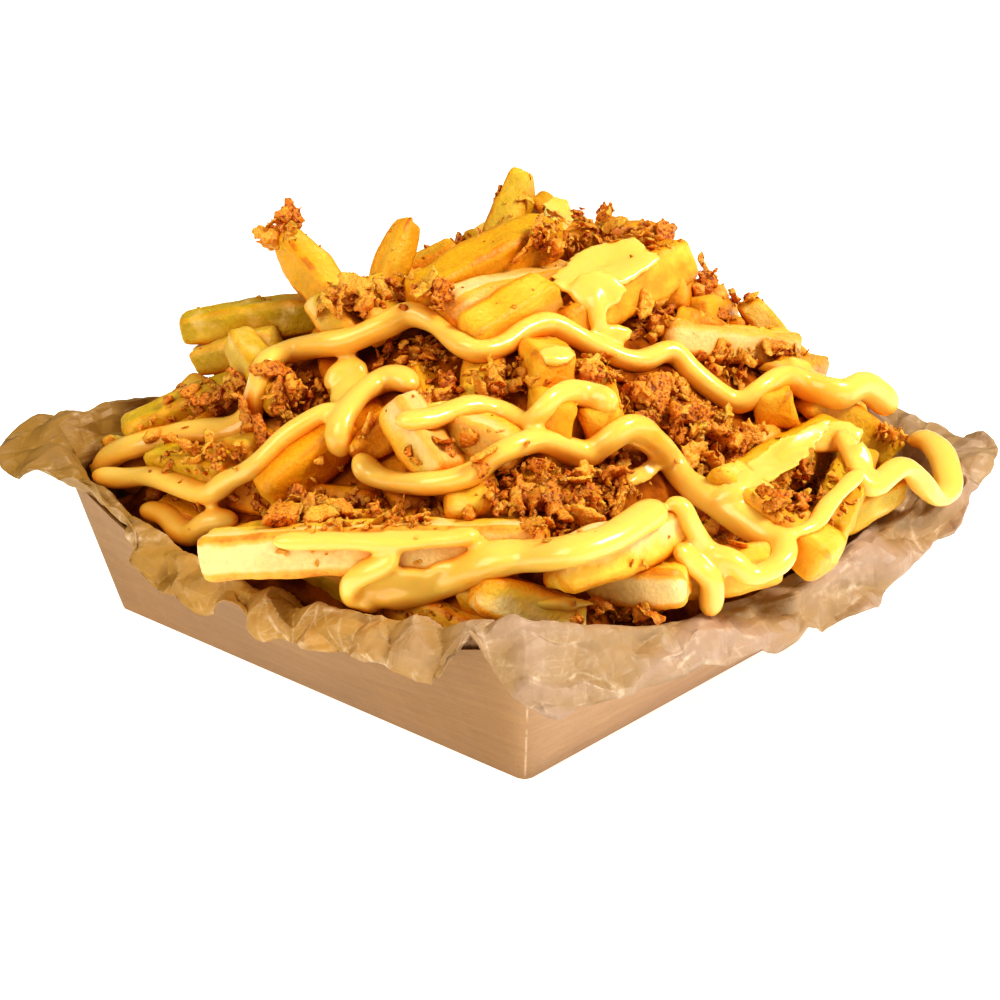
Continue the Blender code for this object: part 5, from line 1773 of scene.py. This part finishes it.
def add_tube(bm, line, radius):
    """A run of sauce as a closed tube, a little flat and uneven, with round ends."""
    look = settings("sauce")
    rings = []
    along = line[1] - line[0]
    side = along.cross(Vector((0, 0, 1))).normalized()
    last = len(line) - 1
    for k, point in enumerate(line):
        turned = line[min(k + 1, last)] - line[max(k - 1, 0)]
        side.rotate(along.rotation_difference(turned))
        along = turned
        up = side.cross(along).normalized()
        size = radius * (1 + look.unevenness * noise.noise(point / UNEVEN_SIZE))
        near_end = min(k, last - k)
        if near_end < len(TUBE_ENDS):
            size *= TUBE_ENDS[near_end]
        ring = []
        for n in range(look.sides):
            angle = math.tau * n / look.sides
            ring.append(point + (side * math.cos(angle) + up * (look.flatness * math.sin(angle))) * size)
        rings.append(ring)
    capped_skin(bm, rings)


def pool_reaches(places, surfaces):
    """How far along its ray each place of a pool meets the food, or for a miss, the furthest of them."""
    reaches = []
    for ring in places:
        for start, heading in ring:
            hits = [surface.ray_cast(start, heading)[3] for surface in surfaces]
            reaches.append(min((hit for hit in hits if hit), default=0))
    reaches = np.array(reaches)
    reaches[reaches == 0] = reaches.max()
    return reaches.reshape(len(places), -1)


def mean_round(reach, innermost):
    """Mean of each place's four neighbours in a pool, whose rows are rings from its middle outwards."""
    inner = np.vstack((innermost, reach[:-1]))
    outer = np.vstack((reach[1:], reach[-1:]))
    return (inner + outer + np.roll(reach, 1, 1) + np.roll(reach, -1, 1)) / 4


def add_pool(bm, centre, halves, angle, radius, bridge, surfaces, draw):
    """A pool of sauce: a thin sheet with round edges that lies on the food and spans the hollows in it."""
    rings = max(4, round(max(halves) / POOL_SPACING))
    around = max(12, round(math.tau * math.sqrt(halves[0] * halves[1]) / POOL_SPACING))
    turned = Matrix.Rotation(math.radians(angle), 2)
    seed = draw.uniform(0, 100)
    shares = [(k + 0.3) / (rings - 0.7) for k in range(rings)]
    places = []
    for share in shares:
        row = []
        for n in range(around):
            turn = math.tau * n / around
            edge = Vector((math.cos(turn), math.sin(turn)))
            uneven = 1 + POOL_UNEVENNESS * noise.noise(Vector((edge.x * 2, edge.y * 2, seed)))
            off = turned @ Vector((halves[0] * edge.x, halves[1] * edge.y)) * (share * uneven)
            row.append(sight_ray(centre[0] + off.x, centre[1] + off.y))
        places.append(row)
    touch = pool_reaches(places, surfaces)
    reach = touch
    for _ in range(round((bridge / POOL_SPACING) ** 2)):
        middle = np.full((1, around), reach[0].mean())
        reach = np.minimum(touch, mean_round(reach, middle))
    for _ in range(POOL_BLURS):
        reach = mean_round(reach, reach[:1])
    bulge = [radius * MM * math.sqrt(max(1 - share * share, 0)) for share in shares]
    front, back = [], []
    for row, depths, thick in zip(places, reach, bulge):
        for sheet, off in ((front, -thick), (back, thick * POOL_SINK)):
            sheet.append([start + heading * (depth + off) for (start, heading), depth in zip(row, depths)])
    capped_skin(bm, [*front, *back[-2::-1]])


def tree_of_objects(objects):
    """One search tree of several finished meshes."""
    points, faces = [], []
    for obj in objects:
        first = len(points)
        points.extend(v.co.copy() for v in obj.data.vertices)
        faces.extend([first + k for k in p.vertices] for p in obj.data.polygons)
    return BVHTree.FromPolygons(points, faces)


class CHEESEFRIES_OT_sauce(bpy.types.Operator):
    """Makes the cheese sauce as one smooth body draped over the fries"""

    bl_idname = "cheesefries.sauce"
    bl_label = "Cheese sauce"

    def execute(self, context):
        look = settings("sauce")
        laid["food"] = tree_of_objects(laid["pieces"])
        surfaces = (laid["food"], tree_of_objects([laid["sheet"]]))
        bm = bmesh.new()
        for line, radius in sauce_runs(surfaces):
            add_tube(bm, line, radius)
        draw = random.Random(POOL_SEED)
        for pool in SHOWN_POOLS:
            add_pool(bm, *pool, surfaces, draw)
        bmesh.ops.recalc_face_normals(bm, faces=bm.faces)
        mesh = finished_mesh("cheese_sauce", bm)
        mesh.materials.append(cheese_material())
        obj = new_object("cheese_sauce", mesh)
        fused(obj, look.voxel).use_smooth_shade = True
        smooth = obj.modifiers.new("smooth", "SMOOTH")
        smooth.factor = 0.5
        smooth.iterations = look.smoothing
        from_modifiers(obj)
        claim(obj)
        laid["sauce"] = tree_of_objects([obj])
        return {"FINISHED"}


def flake_mesh(draw, voxel):
    """One craggy flake of crisp onion, about 1 long: blisters grown together along a thin curled scrap."""
    wide = draw.uniform(*FLAKE_WIDTHS)
    curl = draw.uniform(-FLAKE_CURL, FLAKE_CURL)
    twist = draw.uniform(-FLAKE_TWIST, FLAKE_TWIST)
    rough = draw.choice(FLAKE_ROUGHNESS)
    wiggle = draw.uniform(0, 6.3)
    bm = bmesh.new()
    for _ in range(FLAKE_BLISTERS):
        turn, out = draw.uniform(0, math.tau), draw.random() ** 0.55
        reach = 0.36 + 0.1 * math.cos(3 * turn + wiggle) + 0.06 * math.cos(7 * turn - wiggle)
        x = out * reach * math.cos(turn) * 1.05
        y = out * reach * math.sin(turn) * wide
        z = curl * (x * x - 0.08) + twist * x * y + draw.gauss(0, rough)
        blister = bmesh.ops.create_icosphere(bm, subdivisions=2, radius=draw.uniform(*BLISTER_SIZES))
        bmesh.ops.translate(bm, verts=blister["verts"], vec=(x, y, z))
    obj = new_object("flake", finished_mesh("flake", bm))
    fused(obj, voxel)
    from_modifiers(obj)
    mesh = obj.data
    shift = Vector([draw.uniform(-50, 50) for _ in range(3)])
    for vert in mesh.vertices:
        vert.co += noise.noise_vector(vert.co * 12 + shift) * FLAKE_RELIEF
    bpy.data.objects.remove(obj)
    return mesh


def shred_mesh(draw, steps):
    """One thin curled shred of crisp onion, about 1 long, with torn edges."""
    wide = draw.uniform(*SHRED_WIDTHS)
    thick = draw.uniform(*SHRED_THICKNESSES)
    curl = draw.uniform(-SHRED_CURL, SHRED_CURL)
    twist = draw.uniform(-SHRED_TWIST, SHRED_TWIST)
    shift = Vector([draw.uniform(-50, 50) for _ in range(3)])
    rings = []
    for k in range(steps + 1):
        along = k / steps - 0.5
        angle = twist * along
        forward = math.sin(curl * along) / max(abs(curl), 0.1) * (1 if curl > 0 else -1)
        centre = Vector((forward, 0, (1 - math.cos(curl * along)) / (curl or 1)))
        slimmer = 0.25 + 0.75 * math.sqrt(max(1 - (2 * along) ** 4, 0))
        ring = []
        for turn in range(SHRED_SIDES):
            round_it = math.tau * turn / SHRED_SIDES
            off = Vector((0, math.cos(round_it) * wide * slimmer, math.sin(round_it) * thick))
            off.rotate(Quaternion((1, 0, 0), angle))
            torn = noise.noise_vector((centre + off) * 7 + shift) * 0.09
            fine = noise.noise_vector((centre + off) * 22 + shift) * 0.03
            ring.append(centre + off + torn + fine)
        rings.append(ring)
    bm = bmesh.new()
    capped_skin(bm, rings)
    bmesh.ops.recalc_face_normals(bm, faces=bm.faces)
    return finished_mesh("shred", bm)


def onion_shapes(count, draw, voxel, steps):
    """Flakes and shreds by turns."""
    return [shred_mesh(draw, steps) if k % 2 else flake_mesh(draw, voxel) for k in range(count)]


def crumb_mesh(draw):
    """One angular crumb, about 1 long."""
    bm = bmesh.new()
    bmesh.ops.create_icosphere(bm, subdivisions=1, radius=0.5)
    squash = Vector((1, draw.uniform(0.5, 1), draw.uniform(0.3, 0.8)))
    for vert in bm.verts:
        vert.co = vert.co * squash * draw.uniform(0.6, 1.1)
    return finished_mesh("crumb", bm)


def scatter_tree():
    """Geometry tree: one of a collection's shapes on each point, turned and sized by the point's numbers."""
    inputs = (("Shapes", "Collection"), ("Material", "Material"), ("Smooth", "Bool"))
    tree, given, made = geometry_tree("scatter on points", inputs)
    shelf = {"Collection": given["Shapes"], "Separate Children": True, "Reset Children": True}
    turned = {0: stored(tree, "angles", "FLOAT_VECTOR")}
    placing = {
        "Points": geometry_node(tree, "MeshToPoints", {"Mesh": given["Geometry"]}),
        "Instance": geometry_node(tree, "CollectionInfo", shelf),
        "Pick Instance": True,
        "Instance Index": stored(tree, "kind", "INT"),
        "Rotation": add_node(tree, "FunctionNodeEulerToRotation", turned).outputs[0],
        "Scale": stored(tree, "size"),
    }
    body = geometry_node(tree, "InstanceOnPoints", placing)
    return finish_tree(tree, body, given["Material"], made, given["Smooth"])


def scatter(name, rows, shapes, material, smooth):
    """A piece of many small things from rows of (place, angles, size, kind, tone)."""
    mesh = bpy.data.meshes.new(name)
    mesh.from_pydata([row[0] for row in rows], [], [])
    store(mesh, "angles", "FLOAT_VECTOR", [angle for row in rows for angle in row[1]])
    for column, key, kind in ((2, "size", "FLOAT"), (3, "kind", "INT"), (4, "tone", "FLOAT")):
        store(mesh, key, kind, [row[column] for row in rows])
    obj = new_object(name, mesh)
    kinds = bpy.data.collections.new(name + " kinds")
    for k, shape in enumerate(shapes):
        kinds.objects.link(bpy.data.objects.new(f"{name} {k:02d}", shape))
    tree = bpy.data.node_groups.get("scatter on points") or scatter_tree()
    run_tree(obj, tree, {"Shapes": kinds, "Material": material, "Smooth": smooth})
    for shape in list(kinds.objects):
        bpy.data.objects.remove(shape)
    bpy.data.collections.remove(kinds)
    claim(obj)


def lie_on(normal, draw):
    """Euler angles that lay a flake along a surface, leaning and turned at random."""
    tilt = Vector([draw.uniform(-FLAKE_LEAN, FLAKE_LEAN) for _ in range(3)])
    turn = (normal + tilt).normalized().to_track_quat("Z", "Y")
    spin = Quaternion((0, 0, 1), draw.uniform(0, math.tau))
    return (turn @ spin).to_euler()


def pile_hit(start, heading, surface, placed):
    """Where a dropped flake comes to rest: on the surface, or on flakes already there."""
    place, normal, _, reach = surface.ray_cast(start, heading)
    if place is None:
        return None
    if len(placed):
        centres, radii = placed[:, :3], placed[:, 3]
        away = centres - np.array(start)
        along = away @ np.array(heading)
        off = np.linalg.norm(away - along[:, None] * np.array(heading), axis=1)
        rise = np.sqrt(np.maximum(radii**2 - off**2, 0))
        near = np.where((off < radii) & (along < reach + 0.001), along - rise, np.inf)
        k = int(near.argmin())
        if near[k] < reach and reach - near[k] < PILE_LIMIT:
            place = start + heading * near[k]
            normal = (place - Vector(centres[k])).normalized()
    return place, normal


def onion_rays(count, draw):
    """Rays towards the places where onion lies, as (start, heading, how thick the onion is there)."""
    total = sum(share for *_, share in SHOWN_ONION) + FAR_ONION
    rays = []
    for (across, up), (half_across, half_up), share in SHOWN_ONION:
        for _ in range(round(count * share / total)):
            turn, out = draw.uniform(0, math.tau), draw.random() ** 0.5
            seen = (across + half_across * out * math.cos(turn), up + half_up * out * math.sin(turn))
            rays.append(sight_ray(*seen))
    for _ in range(round(count * FAR_ONION / total)):
        place = AWAY * draw.uniform(*FAR_ONION_AWAY) * MM + ACROSS * draw.uniform(*FAR_ONION_ACROSS) * MM
        rays.append(ray_down(place.x, place.y))
    draw.shuffle(rays)
    return rays


class CHEESEFRIES_OT_onion(bpy.types.Operator):
    """Scatters crisp onion in heaps on the fries, and crumbs over everything"""

    bl_idname = "cheesefries.onion"
    bl_label = "Crisp onion"

    def execute(self, context):
        look = settings("onion")
        food, sauce = laid["food"], laid["sauce"]
        draw = random.Random(ONION_SEED)
        noise.seed_set(ONION_SEED)
        placed = np.zeros((0, 4))
        rows = []
        for start, heading in onion_rays(look.flakes, draw):
            size = look.smallest * (look.largest / look.smallest) ** (draw.random() ** SIZE_POWER)
            sauce_hit = sauce.ray_cast(start, heading)[3]
            food_hit = food.ray_cast(start, heading)[3]
            covered = sauce_hit and food_hit and sauce_hit < food_hit
            if covered and draw.random() > ON_SAUCE:
                continue
            found = pile_hit(start, heading, sauce if covered else food, placed)
            if not found or found[0].z < LOWEST_ONION:
                continue
            place, normal = found
            place = place + normal * size * FLAKE_SINK
            if not covered and sauce.find_nearest(place, size * CLEAR_OF_SAUCE)[0]:
                continue
            rows.append((place, lie_on(normal, draw), size, draw.randrange(look.kinds), draw.random()))
            placed = np.append(placed, [(*place, size * PILE_SHARE)], axis=0)
        rows.sort(key=lambda row: -row[2])
        material = onion_material()
        for name, some, voxel, steps, smooth in ONION_PIECES:
            shapes = onion_shapes(look.kinds, draw, voxel, steps)
            scatter(name, rows[some], shapes, material, smooth)
        crumbs = []
        for _ in range(look.crumbs):
            x, y = draw.uniform(-MOUND_X, MOUND_X), draw.uniform(-MOUND_Y, MOUND_Y)
            hits = [tree.ray_cast(*ray_down(x, y)) for tree in (food, sauce)]
            hits = [hit for hit in hits if hit[0]]
            if hits and (len(hits) < 2 or hits[0][3] < hits[1][3] or draw.random() < ON_SAUCE):
                place, normal, _, _ = min(hits, key=lambda hit: hit[3])
                size = draw.uniform(*CRUMB_SIZES) * MM
                crumbs.append((place, lie_on(normal, draw), size, draw.randrange(CRUMB_KINDS), draw.random()))
        shapes = [crumb_mesh(draw) for _ in range(CRUMB_KINDS)]
        scatter("onion_crumbs", crumbs, shapes, material, False)
        return {"FINISHED"}


class CHEESEFRIES_OT_tray(bpy.types.Operator):
    """Gives the board tray its finish"""

    bl_idname = "cheesefries.tray"
    bl_label = "Board tray"

    def execute(self, context):
        tray = frame["nodes"]["tray"]
        tray.data.materials.clear()
        tray.data.materials.append(board_material())
        return {"FINISHED"}


def area_light(name, power, off, size, colour):
    """A soft square light that faces the food."""
    light = bpy.data.lights.new(name, "AREA")
    light.shape = "SQUARE"
    light.size = size
    light.energy = power
    light.color = colour
    obj = new_object(name, light)
    back, across, up = off
    obj.location = LIT_POINT + BACK * back + ACROSS * across + Vector((0, 0, up))
    obj.rotation_euler = (LIT_POINT - obj.location).to_track_quat("-Z", "Y").to_euler()


class CHEESEFRIES_OT_stage(bpy.types.Operator):
    """Makes the floor, the lights and the camera"""

    bl_idname = "cheesefries.stage"
    bl_label = "Stage"

    def execute(self, context):
        look = settings("stage")
        scene = context.scene
        bpy.ops.mesh.primitive_plane_add(size=FLOOR_SIZE)
        floor = context.object
        floor.name = "floor"
        material, tree = new_material("floor")
        white = (*look.floor, 1)
        set_shader(tree, Base_Color=white, Emission_Color=white, Emission_Strength=look.glow, Roughness=0.9)
        floor.data.materials.append(material)
        world = bpy.data.worlds.new("surroundings")
        world.use_nodes = True
        background = world.node_tree.nodes["Background"].inputs
        background["Color"].default_value = (*look.sky_colour, 1)
        background["Strength"].default_value = look.sky
        scene.world = world
        scene.view_settings.view_transform = "Standard"
        scene.view_settings.look = "Medium High Contrast"
        area_light("key", look.key, *KEY_LIGHT)
        area_light("fill", look.fill, *FILL_LIGHT)
        camera = bpy.data.cameras.new("camera")
        camera.lens = LENS
        camera.sensor_width = 36
        camera.clip_start = 0.01
        obj = new_object("camera", camera)
        obj.location = EYE
        obj.rotation_euler = (-BACK).to_track_quat("-Z", "Y").to_euler()
        scene.camera = obj
        return {"FINISHED"}


STEPS = ("tray", "paper", "fries", "depth", "sauce", "onion", "stage")


class CHEESEFRIES_PT_panel(bpy.types.Panel):
    """Lists the steps and their settings"""

    bl_idname = "CHEESEFRIES_PT_panel"
    bl_label = "Cheese Fries"
    bl_space_type = "VIEW_3D"
    bl_region_type = "UI"
    bl_category = "Cheese Fries"

    def draw(self, context):
        for step in STEPS:
            self.layout.operator("cheesefries." + step)
        for group in GROUPS:
            column = self.layout.column(heading=group.title())
            for name in GROUPS[group].__annotations__:
                column.prop(settings(group), name)


GROUPS = {
    "tray": TraySettings,
    "paper": PaperSettings,
    "fries": FrySettings,
    "sauce": SauceSettings,
    "onion": OnionSettings,
    "stage": StageSettings,
}
OPERATORS = (
    CHEESEFRIES_OT_tray,
    CHEESEFRIES_OT_paper,
    CHEESEFRIES_OT_fries,
    CHEESEFRIES_OT_depth,
    CHEESEFRIES_OT_sauce,
    CHEESEFRIES_OT_onion,
    CHEESEFRIES_OT_stage,
)


def register():
    for name, group in GROUPS.items():
        bpy.utils.register_class(group)
        setattr(bpy.types.Scene, "cheese_fries_" + name, PointerProperty(type=group))
    for operator in OPERATORS:
        bpy.utils.register_class(operator)
    bpy.utils.register_class(CHEESEFRIES_PT_panel)


def unregister():
    bpy.utils.unregister_class(CHEESEFRIES_PT_panel)
    for operator in reversed(OPERATORS):
        bpy.utils.unregister_class(operator)
    for name, group in reversed(GROUPS.items()):
        delattr(bpy.types.Scene, "cheese_fries_" + name)
        bpy.utils.unregister_class(group)


def main():
    register()
    for step in STEPS:
        getattr(bpy.ops.cheesefries, step)()


if __name__ == "__main__":
    main()
